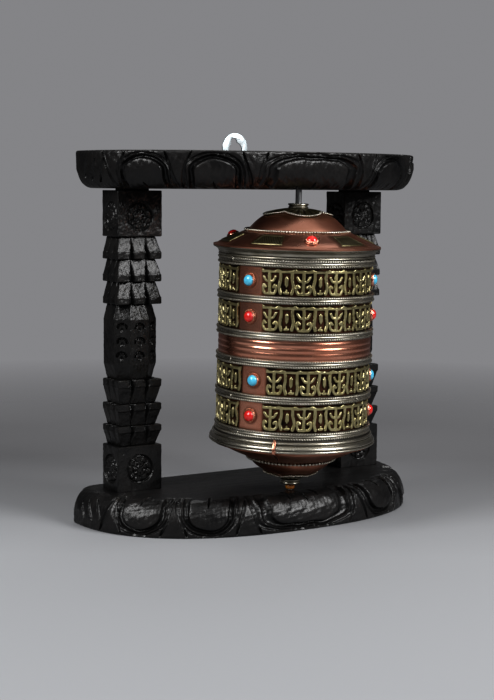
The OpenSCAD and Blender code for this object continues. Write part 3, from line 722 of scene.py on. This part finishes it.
lean = math.degrees(math.asin((PLATE_R - TAIL_R) / TAIL))
outline = np.vstack([arc((0, 0), PLATE_R, -lean, 180 + lean, 72),
                     arc((0, -TAIL), TAIL_R, 180 + lean, 360 - lean, 36)])
mouth = math.degrees(math.asin(SLOT_R / KEYHOLE_R))
keyhole = np.vstack([arc((0, HOLE_AT), KEYHOLE_R, 90 + mouth, 450 - mouth, 52),
                     arc((0, SLOT_AT), SLOT_R, 0, 180, 22)])
screw_holes = [arc((0, -y), 1.2, 0, 345, 24) for y in SCREW_AT]
piece("hanger_plate_zinc", flat_plate([outline, keyhole] + screw_holes, PLATE_T, 0.2), ZINC, "frame",
      "hanger_plate", HANGER, 30)


def screw_head(y):
    """A domed head with a cross slot."""
    profile = np.array([(2.2, 0.02), (2.2, 0.35), (2.05, 0.6), (1.6, 0.85), (1.1, 1.0), (0.75, 1.05),
                        (0.45, 1.08), (0.2, 1.09), (0.02, 1.09)])
    a = circle(40)[None, :]
    rho, z = profile.T[:, :, None]
    x, v = rho * np.cos(a), rho * np.sin(a)
    slot = np.maximum((np.abs(x) < 0.32) * (np.abs(v) < 1.2), (np.abs(v) < 0.32) * (np.abs(x) < 1.2))
    top = PLATE_T + z - 0.55 * slot * (rho < 1.3)
    return np.stack([x, v - y, top + 0 * a], -1), grid(9, 40, False, True), 0.8 * slot.ravel()


piece("hanger_screw_heads", joined([screw_head(y) for y in SCREW_AT]), ZINC, "frame", "hanger_screws",
      HANGER)


# -------- drum: sheets, mouldings and bands
def drum_piece(name, parts, finish, node, crease=35):
    """A piece on the drum, made upright and then set on the leaning rod."""
    piece(name, joined(parts), finish, "drum", node, SPINDLE, crease)


def drum_shell():
    """The shell, dark behind the relief and bright round the cabochons: dark oxide behind the relief, and
    painted shade along the wire bands and round the bezels.
    """
    cols = 480
    a, z = np.meshgrid(np.degrees(circle(cols)), np.linspace(DRUM_Z + 0.05, Z_RIM - 0.05, 130))
    dark = np.zeros(a.shape)
    mm_per_degree = SHELL_R * math.pi / 180
    gap = 360 / PANELS / 2 - PANEL_DEG / 2
    for first, low in zip(GEM_DIRS, ROW_Z):
        turn = (a - first + 180 / PANELS) % (360 / PANELS) - 180 / PANELS
        near = smooth(gap - 2.0, gap + 1.0, np.abs(turn))
        patch = smooth(-0.35, 0.45, wobble(a * mm_per_degree, z, 14, int(low)))
        seat = smooth(5.6, 4.4, np.hypot(turn * mm_per_degree, z - low - ROW_H / 2))
        row = (z > low - 0.4) * (z < low + ROW_H + 0.4)
        rim = smooth(1.6, 0.2, np.minimum(z - low, low + ROW_H - z))
        # Dark oxide behind the relief, and painted shade along the edges of each row beside the wire bands
        # and round each bezel's seat
        tarnish_and_shade = np.maximum(near * (0.80 + 0.20 * patch), 0.4 * rim * (0.5 + 0.5 * patch))
        dark = np.maximum(dark, row * np.maximum(tarnish_and_shade, 0.45 * seat))
    outer, inner = (polar(r, np.radians(a), z) for r in (SHELL_R, SHELL_R - SHEET_T))
    wall = np.concatenate([outer, inner[[-1, 0]]])
    return wall, grid(len(wall), cols, True, True), np.concatenate([dark, dark[[-1, 0]]])


drum_piece("drum_shell_copper", [drum_shell()], COPPER_SHELL, "drum_shell")

# Lids: dark oxide between the lid plates, and painted shade round the rod, beside the bead wire and all over
# the lower lid, which faces down
lid = sheet(LID, -SHEET_T, 5, wave=0.12, seed=2)
x, y = lid[0][..., 0], lid[0][..., 1]
r, t = np.hypot(x, y), np.degrees(np.arctan2(y, x))
patch = wobble(x, y, 17, 8)
off = np.abs(np.abs((t - LID_GEM_DIR + 60) % 120 - 60) - 35)
lid_oxide_and_shade = smooth(19, 13, off + 3 * patch) * smooth(31, 33.5, r) * smooth(46.8, 44.5, r) * 0.75
lid_oxide_and_shade = np.maximum(lid_oxide_and_shade, 0.6 * smooth(24, 19, r + 2 * patch))
lid_oxide_and_shade = np.maximum(lid_oxide_and_shade, 0.9 * smooth(1.5, 0.4, np.abs(r - 29.6)))
drum_piece("upper_lid_copper", [(lid[0], lid[1], lid_oxide_and_shade.ravel())], COPPER_LID, "upper_lid", 50)
lower = sheet(LOWER_LID, SHEET_T, 5, wave=0.10, seed=5)
x, y = lower[0][..., 0], lower[0][..., 1]
# Painted shade: the lower lid is darkened all over and beside its bead wire, with some tone that differs at
# random
lid_oxide_and_shade = 0.30 + 0.22 * wobble(x, y, 15, 9) + 0.5 * smooth(1.6, 0.4, np.abs(np.hypot(x, y) - 25.2))
drum_piece("lower_lid_copper", [(lower[0], lower[1], lid_oxide_and_shade.ravel())], COPPER_LID, "lower_lid", 50)


def bead_wire(radius, z, size, pitch):
    """A wire of round beads on a core wire painted black, as painted shade in the gaps between the beads."""
    count = int(2 * math.pi * radius / pitch)
    bead = placed(blob((radius, 0, 0), (size, 0.47 * pitch, size), 10), Matrix.Translation((0, 0, z)))
    beads = [placed(bead, Matrix.Rotation(2 * math.pi * i / count, 4, "Z")) for i in range(count)]
    core = [(radius + 0.4 * size * math.cos(b), z + 0.4 * size * math.sin(b)) for b in circle(8)]
    return beads + [turned(core, 180, recess=np.ones(8))]


drum_piece("upper_lid_beads", bead_wire(30.0, LID[9][1] + 0.82, 0.86, 1.57), SILVER_WIRE,
           "upper_lid_wire")
drum_piece("lower_lid_beads", bead_wire(25.6, LOWER_LID[8][1] - 0.86, 0.86, 2.2), SILVER_WIRE,
           "lower_lid_wire")

# Mouldings as (radius, height, recess)
# Their recess darkens the grooves and the steps against the shell, partly as dark oxide and partly as painted
# shade; on the head moulding it also darkens the flare, which faces down under the lid's rim, as painted
# shade
HEAD = [(SHELL_R, 0, 1), (44.6, 0, 1), (45.0, 0.2, 0.3), (45.35, 0.5, 0), (45.3, 0.95, 0.1), (44.9, 1.2, 0.9),
        (44.8, 1.45, 1), (45.0, 1.65, 0.8), (45.3, 1.8, 0.1), (45.35, 2.3, 0), (45.5, 2.8, 0.3),
        (45.85, 3.3, 0.55), (46.4, 3.75, 0.6), (47.1, 4.15, 0.5), (47.8, 4.5, 0.4), (48.2, 4.7, 0.6),
        (48.0, 4.85, 0.9), (48.2, 4.95, 0.2), (48.4, 5.1, 0), (48.4, 5.4, 0), (SHELL_R, 5.4, 0.5)]
FOOT = [(SHELL_R, 0.0, 0.5), (47.2, 0.0, 0.5), (48.0, 0.15, 0.1), (48.4, 0.5, 0), (48.45, 0.9, 0),
        (48.2, 1.25, 0.1), (47.85, 1.4, 0.9), (47.7, 1.6, 1), (47.9, 1.8, 0.9), (48.2, 2.0, 0.1),
        (48.25, 2.4, 0), (48.05, 2.9, 0), (47.65, 3.4, 0), (47.1, 3.85, 0), (46.6, 4.2, 0.1),
        (46.15, 4.4, 0.9), (46.05, 4.6, 1), (46.2, 4.8, 0.9), (46.55, 4.95, 0.1), (46.75, 5.3, 0),
        (46.65, 5.75, 0), (46.2, 6.1, 0.1), (45.7, 6.25, 0.9), (45.5, 6.45, 1), (45.3, 6.9, 1),
        (SHELL_R, 6.9, 1)]
# Lower half of the strip between two wires
STRIP = [(SHELL_R, 0, 1), (44.1, 0.05, 0.8), (44.35, 0.25, 0.35), (44.1, 0.45, 0.9), (43.95, 0.7, 1),
         (44.0, BAND_H / 2 - 0.62, 1), (44.7, BAND_H / 2 - 0.5, 0.5), (44.95, BAND_H / 2 - 0.25, 0)]


def moulding(rows, z_0, wave=0.06, seed=0):
    """A ring turned from rows of (radius, height, recess)."""
    r, z, deep = np.array(rows).T
    return turned(np.column_stack([r, z_0 + z]), wave=wave, seed=seed, recess=deep)


drum_piece("head_moulding_rings", [moulding(HEAD, Z_HEAD, seed=1)], SILVER_SHADED, "head_moulding",
           60)
drum_piece("foot_moulding_rings", [moulding(FOOT, DRUM_Z, seed=4)], SILVER, "foot_moulding",
           60)


def wire_band(z, seed):
    """A strip with a plain wire along each edge, under two twisted wires, with three drops of solder."""
    mid = z + BAND_H / 2
    strip = STRIP + [(45.0, BAND_H / 2, 0)] + [(r, BAND_H - h, deep) for r, h, deep in STRIP[::-1]]
    ropes = [rope(44.75, mid + side * 1.38, 0.80, 1.46, twist=side) for side in (-1, 1)]
    parts = [moulding(strip, z, 0)] + ropes
    rng = np.random.default_rng(seed)
    for a in np.radians(rng.uniform(0, 360, 3)):
        centre = (44.9 * math.cos(a), 44.9 * math.sin(a), mid + rng.uniform(-1.2, 1.2))
        parts.append(blob(centre, (0.75, 0.75, 1.0)))
    return parts


for k, z in enumerate(BAND_Z, 1):
    drum_piece(f"wire_band_{k}_twisted", wire_band(z, k), SILVER_WIRE, f"wire_band_{k}")

# The plain band: three soft ridges between two narrow flats
steps = np.linspace(0, 1, 61)
third = np.clip((steps - 0.07) / 0.86 * 3, 0, 2.999)
ridge = np.array([0.20, 0.34, 0.26])[third.astype(int)] * np.abs(np.sin(np.pi * third)) ** 0.8
band = [(SHELL_R + 0.45 + r, s * CENTRE_H, 0.12 * (1 - smooth(0.0, 0.15, r))) for r, s in zip(ridge, steps)]
band = [(SHELL_R, 0, 0)] + band + [(SHELL_R, CENTRE_H, 0)]
drum_piece("centre_band_ribbed", [moulding(band, Z_CENTRE, 0.05, 7)], COPPER, "centre_band", 60)

# -------- drum: relief rows
PANEL_W = math.radians(PANEL_DEG) * RELIEF_R
CELL = 0.27  # spacing of the relief's mesh
MOTIFS = 8  # on each panel


def stroke(x, side, points, per_step):
    """A smooth line through points given by their distance from x to one side and their height."""
    return spline([(x + side * u, v) for u, v in points], per_step)


def anchor_motif(x):
    """A stem with a curled hook on each side of its foot and a bud on each side of its neck."""
    lines = [(np.array([(x, 13.6), (x, 1.3)]), 1.05)]
    for side in (-1, 1):
        hook = stroke(x, side, [(0.6, 1.5), (2.7, 1.5), (3.9, 3.5), (3.5, 5.9), (2.3, 5.0)], 5)
        bud = stroke(x, side, [(0.5, 8.0), (2.2, 8.6), (3.5, 10.6)], 5)
        lines += [(hook, 0.92), (bud, 0.85)]
    return lines


def lyre_motif(x):
    """Two bowed stems round a tall lozenge."""
    lines = [(np.array([(x, 9.6), (x, 6.6)]), 1.15), (np.array([(x, 10.8), (x, 5.4)]), 0.55),
             (np.array([(x - 0.9, 1.9), (x + 0.9, 1.9)]), 0.85), (np.array([(x, 1.9), (x, 3.4)]), 0.6)]
    for side in (-1, 1):
        lines.append((stroke(x, side, [(3.3, 13.6), (3.2, 9.5), (3.9, 5.0), (3.0, 1.6)], 6), 1.05))
    return lines


def panel_relief(u, v, seed):
    """Height, from 0 to 1, of the ornament at u along a panel and v up it."""
    pitch = PANEL_W / MOTIFS
    u = u + 0.22 * wobble(u, v, 11, seed)
    v = v + 0.18 * wobble(u, v, 9, seed + 1)
    height = np.zeros(u.shape)
    strokes = []
    for k in range(MOTIFS):
        strokes += (anchor_motif, lyre_motif)[k % 2]((k + 0.5 - MOTIFS / 2) * pitch)
    for line, half in strokes:
        near = (u > line[:, 0].min() - 1.5) & (u < line[:, 0].max() + 1.5)
        if not near.any():
            continue
        pu, pv = u[near], v[near]
        best = np.full(pu.shape, 99.0)
        for (x0, y0), (x1, y1) in zip(line, line[1:]):
            dx, dy = x1 - x0, y1 - y0
            t = np.clip(((pu - x0) * dx + (pv - y0) * dy) / (dx * dx + dy * dy + 1e-9), 0, 1)
            best = np.minimum(best, np.hypot(pu - x0 - t * dx, pv - y0 - t * dy))
        height[near] = np.maximum(height[near], smooth(half + 0.15, half - 0.35, best))
    peaks = 0.9 * np.clip(1 - np.abs((u / pitch + 0.5) % 1 - 0.5) * pitch / 1.7, 0, 1)
    bar = smooth(12.55, 13.0, v) * smooth(14.55 + peaks, 14.15 + peaks, v)
    height = np.maximum(height, bar)
    return height * smooth(PANEL_W / 2 + 0.05, PANEL_W / 2 - 0.3, np.abs(u))


def relief_panel(direction, low, seed):
    """The raised ornament of one panel, without the ground between its strokes."""
    cols, rows = int(PANEL_W / CELL) + 1, int(ROW_H / CELL) + 1
    u, v = np.meshgrid(np.linspace(-PANEL_W / 2, PANEL_W / 2, cols), np.linspace(0.25, ROW_H - 0.25, rows))
    height = panel_relief(u, v, seed)
    r = SHELL_R - 0.25 + height * (1.32 + 0.10 * wobble(u, v, 5, seed + 3))
    points = polar(r, math.radians(direction) + u / RELIEF_R, low + v)
    quads = grid(rows, cols)
    tall = height.ravel()
    keep = tall[quads].max(1) > 0.02
    used = np.unique(quads[keep])
    index = np.full(tall.size, -1)
    index[used] = np.arange(len(used))
    return points.reshape(-1, 3)[used], index[quads[keep]], (1 - smooth(0.35, 0.95, tall))[used]


for row, (first, low) in enumerate(zip(GEM_DIRS, ROW_Z), 1):
    parts = [relief_panel(first + (i + 0.5) * 360 / PANELS, low, 53 + 7 * row + i) for i in range(PANELS)]
    drum_piece(f"relief_row_{row}_scrolls", parts, BRASS, f"relief_row_{row}", 50)


# -------- drum: cabochons and their settings
def toward(degrees):
    """A turn about the drum's axis from +X to this direction."""
    return Matrix.Rotation(math.radians(degrees), 4, "Z")


def out_of_drum(direction, low):
    """From +Z to straight out of the drum's side, at the middle of a row."""
    return (toward(direction) @ Matrix.Translation((SHELL_R, 0, low + ROW_H / 2))
            @ Matrix.Rotation(math.pi / 2, 4, "Y"))


SKIRT_SLOPE = math.atan2(LID[11][1] - LID[12][1], LID[12][0] - LID[11][0])


def out_of_skirt(direction):
    """From +Z to straight out of the upper lid's skirt."""
    return (toward(direction) @ Matrix.Translation((LID_GEM_R, 0, on_outline(LID, LID_GEM_R)))
            @ Matrix.Rotation(SKIRT_SLOPE, 4, "Y"))


def cabochon():
    """A domed stone that stands on +Z."""
    t = np.linspace(0, math.pi / 2, 18)
    r = np.maximum((GEM_R - 0.03) * np.sin(t) ** 0.92, 0.02)
    z = 0.4 + 2.9 * np.cos(t) ** 0.85
    r, z = np.append(r, r[-1])[:, None], np.append(z, 0.35)[:, None]
    return polar(r, circle(48)[None, :], z), grid(len(r), 48, False, True)


def bezel(base):
    """A collar cut into small teeth that are pressed in over the stone, on a ring of fine wire."""
    n, teeth = 264, 22
    a = circle(n)[None, :]
    gap = 0.5 - 0.5 * np.cos(teeth * a)
    # (radius beyond the stone, height, share of the cut) from the foot outside to the foot inside
    rows = np.array([(0.62, base, 0), (0.60, 0.7, 0), (0.46, 1.15, 0.1), (0.22, 1.45, 0.55), (-0.05, 1.75, 1),
                     (0.02, 1.2, 0.3), (0.05, base, 0)])
    r, z, cut = rows.T[:, :, None]
    wall = polar(GEM_R + r + 0.10 * cut * gap, a, z - 0.62 * cut * gap)
    b, wire = a.T, circle(8)[None, :]
    lobes = np.abs(np.cos(15 * b))
    bead = 0.30 * (0.7 + 0.3 * lobes)
    ring = polar(GEM_R + 0.78 + bead * np.cos(wire), b, 0.22 + bead * np.sin(wire))
    # Painted shade: the recess darkens the cuts between the teeth and the valleys between the wire ring's
    # lobes
    return joined([(wall, grid(len(rows), n, True, True), 0.75 * gap * cut),
                   (ring, grid(n, 8, True, True), 1 - lobes + 0 * wire)])


for row, (first, low) in enumerate(zip(GEM_DIRS, ROW_Z), 1):
    places = [out_of_drum(first + 360 * i / PANELS, low) for i in range(PANELS)]
    word, finish = (("turquoise", TURQUOISE), ("coral", CORAL))[(row - 1) % 2]
    drum_piece(f"{word}_row_{row}_stones", [placed(cabochon(), m) for m in places], finish,
               f"{word}_row_{row}", 60)
    drum_piece(f"bezels_row_{row}_cut", [placed(bezel(-0.1), m) for m in places], COPPER_TRIM,
               f"bezels_row_{row}", 50)
places = [out_of_skirt(LID_GEM_DIR + 120 * i) for i in range(3)]
drum_piece("lid_corals_stones", [placed(cabochon(), m) for m in places], CORAL, "lid_corals", 60)
drum_piece("lid_bezels_cut", [placed(bezel(0.05), m) for m in places], COPPER_TRIM, "lid_bezels",
           50)


# -------- drum: calyxes, lid plates, ferrules, clip
def lobe_share(a):
    """1 in the middle of a calyx's lobe and 0 between two lobes."""
    return np.abs(np.cos(2 * (a - math.radians(LOBE_DIR)))) ** 0.8


def calyx(outline, side, low, high):
    """Four pointed lobes of dark brass that lie on a lid, with veins, and the beads along their edge."""
    n, rings = 480, 26
    a, t = circle(n)[None, :], np.linspace(0, 1, rings)[:, None]
    edge = low + (high - low) * lobe_share(a) - 0.45
    r = STUB_R + 0.1 + (edge - STUB_R - 0.1) * t
    veins = 0.5 + 0.5 * np.cos(24 * a + 3 * t)
    deep = smooth(0.1, 0.3, t) * smooth(0.92, 0.8, t) * veins
    lift = 0.30 + 0.28 * (1 - deep) + 0.5 * t**6 * lobe_share(a)
    surface = on_outline(outline, r)
    body = np.concatenate([polar(r, a, surface + side * lift), polar(r, a, surface + side * 0.06)[[-1, 0]]])
    lobes = (body, grid(rings + 2, n, True, True), np.concatenate([deep, np.ones((2, n))]))
    loop = np.stack([edge * np.cos(a), edge * np.sin(a)], -1)[0]
    loop = np.vstack([loop, loop[:1]])
    run = distances(loop)
    at = lambda s: np.array([np.interp(s, run, loop[:, k]) for k in (0, 1)])
    beads = []
    count = int(run[-1] / 1.35)
    for s in np.arange(count) * run[-1] / count:
        x, y = at(s)
        ahead_x, ahead_y = at(s + 0.3)
        height = on_outline(outline, math.hypot(x, y)) + side * (0.5 + 0.5 * lobe_share(math.atan2(y, x)))
        turn = math.atan2(ahead_y - y, ahead_x - x) - math.pi / 2
        place = Matrix.Translation((x, y, height)) @ Matrix.Rotation(turn, 4, "Z")
        beads.append(placed(blob((0, 0, 0), (0.62, 0.64, 0.55), 8), place))
    return lobes, beads


for word, shape in (("upper", (LID, 1, 14.5, 20.5)), ("lower", (LOWER_LID, -1, 11.5, 16.5))):
    lobes, beads = calyx(*shape)
    drum_piece(f"{word}_calyx_lobes", [lobes], BRASS_DARK, f"{word}_calyx", 50)
    drum_piece(f"{word}_calyx_beads", beads, SILVER_WIRE, f"{word}_calyx", 50)


def lid_plate(direction):
    """A small plate on the skirt, filled with rows of fine scales inside a raised frame."""
    cols, rows = 90, 56
    half = math.radians(12.3)
    u, v = np.meshgrid(np.linspace(-1, 1, cols), np.linspace(0, 1, rows))
    r = 34.0 + 10.0 * v
    a = math.radians(direction) + u * half * (1 - 0.10 * (1 - v))
    x, y = u * half * r, (v - 0.5) * 10
    rim = np.maximum(smooth(0.84, 0.90, np.abs(u)), smooth(0.80, 0.88, np.abs(2 * v - 1)))
    scale = np.abs(np.sin(math.pi * (x / 1.5 + (np.floor(y / 1.3) % 2) / 2))) * (1 - (y / 1.3 % 1)) ** 0.5
    height = np.maximum(rim, 0.75 * scale)
    edge = np.maximum(smooth(0.97, 1.0, np.abs(u)), smooth(0.96, 1.0, np.abs(2 * v - 1)))
    lift = (0.10 + 0.42 * height) * (1 - edge)
    return polar(r, a, on_outline(LID, r) + lift), grid(rows, cols), 1 - height


plates = [lid_plate(LID_GEM_DIR + 120 * i + side * 35) for i in range(3) for side in (-1, 1)]
drum_piece("lid_plates_scaled", plates, BRASS_DARK, "lid_panels", 50)

# A cup-shaped bush with a rolled rim and a groove, as (radius, height, recess)
FERRULE = [(BORE_R, -3.6, 0), (STUB_R, -3.6, 0), (STUB_R, -0.05, 0)]
FERRULE += [(FERRULE_R - inset, h, deep) for inset, h, deep in (
    (0.5, 0.0, 0.3), (0.1, 0.15, 0), (0.05, 0.5, 0), (0.5, 0.75, 0.3), (0.75, 1.1, 0.9), (0.6, 1.5, 0.5),
    (0.1, 1.75, 0), (0, 2.1, 0), (0.1, 2.45, 0), (0.5, FERRULE_H, 0), (1.1, FERRULE_H, 0),
    (1.4, FERRULE_H - 0.3, 0.3), (1.45, FERRULE_H - 0.95, 0.9))]
FERRULE += [(BORE_R + 0.3, FERRULE_H - 1.0, 0.9), (BORE_R, FERRULE_H - 1.2, 0.5)]
CALYX_T = 0.55
for word, z, side in (("upper", LID[0][1] + CALYX_T, 1), ("lower", LOWER_LID[0][1] - CALYX_T, -1)):
    cup = turned([(r, z + side * h) for r, h, _ in FERRULE], 96, recess=[deep for *_, deep in FERRULE])
    drum_piece(f"{word}_ferrule_cup", [cup], SILVER, f"{word}_ferrule", 60)


def clip():
    """A copper strip with rounded edges, hooked over the lower rim."""
    path = spline([(45.55, DRUM_Z + 7.3), (46.9, DRUM_Z + 6.3), (48.2, DRUM_Z + 4.4), (49.1, DRUM_Z + 2.6),
                   (49.15, DRUM_Z + 0.4), (47.6, DRUM_Z - 0.8), (43.5, DRUM_Z - 2.2), (37.5, DRUM_Z - 5.1),
                   (33.2, on_outline(LOWER_LID, 33.2) - 0.35)], 8)
    along = np.gradient(path, axis=0)
    along /= np.linalg.norm(along, axis=1, keepdims=True)
    out = np.stack([-along[:, 1], along[:, 0]], -1)
    q = circle(16)
    across = 0.85 * np.sign(np.cos(q)) * np.abs(np.cos(q)) ** 0.5
    thick = 0.30 * np.sign(np.sin(q)) * np.abs(np.sin(q)) ** 0.7
    r = path[:, :1] + out[:, :1] * thick
    z = path[:, 1:] + out[:, 1:] * thick
    a = math.radians(CLIP_DIR)
    narrowing = np.interp(np.linspace(0, 1, len(path)), (0, 0.1, 0.8, 1), (0.7, 1, 0.95, 0.5))
    w = across[None, :] * narrowing[:, None]
    points = np.stack([r * math.cos(a) - w * math.sin(a), r * math.sin(a) + w * math.cos(a), z], -1)
    return points, tube(len(path), 16)


drum_piece("lid_clip_hook", [clip()], COPPER_TRIM, "lid_clip", 50)

# -------- bead and washer
BEAD_H, BEAD_R, WASHER_H = 2.9, 2.8, 0.8
z_bead = BASE_T + 0.35
barrel = [(BORE_R + (BEAD_R - BORE_R) * math.sqrt(1 - abs(k) ** 2.6) ** 0.9, z_bead + BEAD_H / 2 * (1 + k))
          for k in np.linspace(-1, 1, 22)]
bore = [(BORE_R, z_bead + BEAD_H * 0.7), (BORE_R, z_bead + BEAD_H * 0.3)]
piece("thrust_bead_amber", turned(barrel + bore, 64)[:2], AMBER, "bead", "thrust_bead",
      SPINDLE, 50)
z = z_bead + BEAD_H + 0.05
rim = [(3.0, 0), (3.25, 0.15), (3.3, WASHER_H / 2), (3.25, WASHER_H - 0.15), (3.0, WASHER_H)]
ring = turned([(r, z + h) for r, h in [(BORE_R, 0)] + rim + [(BORE_R, WASHER_H)]], 64)
piece("thrust_washer_ring", ring, SILVER, "washer", "thrust_washer", SPINDLE, 50)


# -------- stage, lights and camera
CAMERA_YAW, CAMERA_PITCH, CAMERA_ROLL = 31.878, 6.161, 0.448


def floor():
    """A pale floor, darkened behind the object as painted shade, which fades into the background all round.
    """
    n, half = 40, 2.0
    x, y = np.meshgrid(np.linspace(-half, half, n), np.linspace(-half, half, n))
    mesh = bpy.data.meshes.new("floor")
    mesh.from_pydata(np.stack([x, y, 0 * x], -1).reshape(-1, 3).tolist(), [], grid(n, n).tolist())
    f = Finish("pale_paper", Roughness=0.9, Specular_IOR_Level=0.2)
    depth = f.node("ShaderNodeSeparateXYZ", {"Vector": f.place}).outputs["Y"]
    distance = f.node("ShaderNodeVectorMath", {0: f.place}, operation="LENGTH").outputs["Value"]
    tone = f.mix(f.between(depth, -0.10, 0.20), rgb(0.255, 0.260, 0.271), rgb(0.135, 0.135, 0.140))
    mesh.materials.append(f.set(Base_Color=tone, Alpha=f.between(distance, 0.85, 0.38)))
    obj = add("floor", mesh)
    obj.rotation_euler.z = math.radians(-CAMERA_YAW)


def softbox(name, azimuth, elevation, distance, size, power, target=(0, -0.01, 0.11)):
    """An area light that looks at the target. Azimuth 0 is the camera's side, positive to its right."""
    a, e = math.radians(azimuth - CAMERA_YAW), math.radians(elevation)
    way = Vector((math.sin(a) * math.cos(e), -math.cos(a) * math.cos(e), math.sin(e)))
    light = bpy.data.lights.new(name, "AREA")
    light.shape = "RECTANGLE"
    light.size, light.size_y = size
    light.energy = power
    obj = add(name, light)
    obj.location = Vector(target) + distance * way
    obj.rotation_mode = "QUATERNION"
    obj.rotation_quaternion = (-way).to_track_quat("-Z", "Y")


floor()
softbox("left", -50, 32, 1.15, (0.42, 0.60), 11)
softbox("right", 58, 31, 1.15, (0.48, 0.62), 15)
softbox("front", -8, 36, 1.3, (0.30, 0.30), 1.2)
softbox("overhead", 40, 78, 1.6, (1.5, 1.5), 4)
softbox("back", 178, 52, 1.4, (0.9, 0.7), 3.4)

# The camera sees a mid-grey wall all round, which gives only a little light
world = bpy.data.worlds.new("studio")
world.use_nodes = True
tree = world.node_tree
tree.nodes["Background"].inputs["Color"].default_value = rgb(0.96, 0.96, 1.0)
seen = tree.nodes.new("ShaderNodeLightPath").outputs["Is Camera Ray"]
strength = tree.nodes.new("ShaderNodeMapRange")
strength.inputs["To Min"].default_value, strength.inputs["To Max"].default_value = 0.05, 0.232
tree.links.new(seen, strength.inputs["Value"])
tree.links.new(strength.outputs["Result"], tree.nodes["Background"].inputs["Strength"])
bpy.context.scene.world = world
bpy.context.scene.view_settings.view_transform = "Standard"
bpy.context.scene.view_settings.look = "Medium High Contrast"

camera = bpy.data.cameras.new("camera")
camera.lens, camera.sensor_width, camera.sensor_fit = 77.58, 36.0, "AUTO"
camera.clip_start, camera.clip_end = 0.05, 20
eye = add("camera", camera)
yaw, pitch, roll = (math.radians(v) for v in (CAMERA_YAW, CAMERA_PITCH, CAMERA_ROLL))
forward = Vector((math.sin(yaw) * math.cos(pitch), math.cos(yaw) * math.cos(pitch), -math.sin(pitch)))
level = Vector((math.cos(yaw), -math.sin(yaw), 0))
upward = level.cross(forward)
right = math.cos(roll) * level + math.sin(roll) * upward
upward = -math.sin(roll) * level + math.cos(roll) * upward
turn = Matrix((right, upward, -forward)).transposed().to_4x4()
eye.matrix_world = Matrix.Translation((-0.4837, -0.7972 + BACK_Y * MM, 0.1971)) @ turn
bpy.context.scene.camera = eye
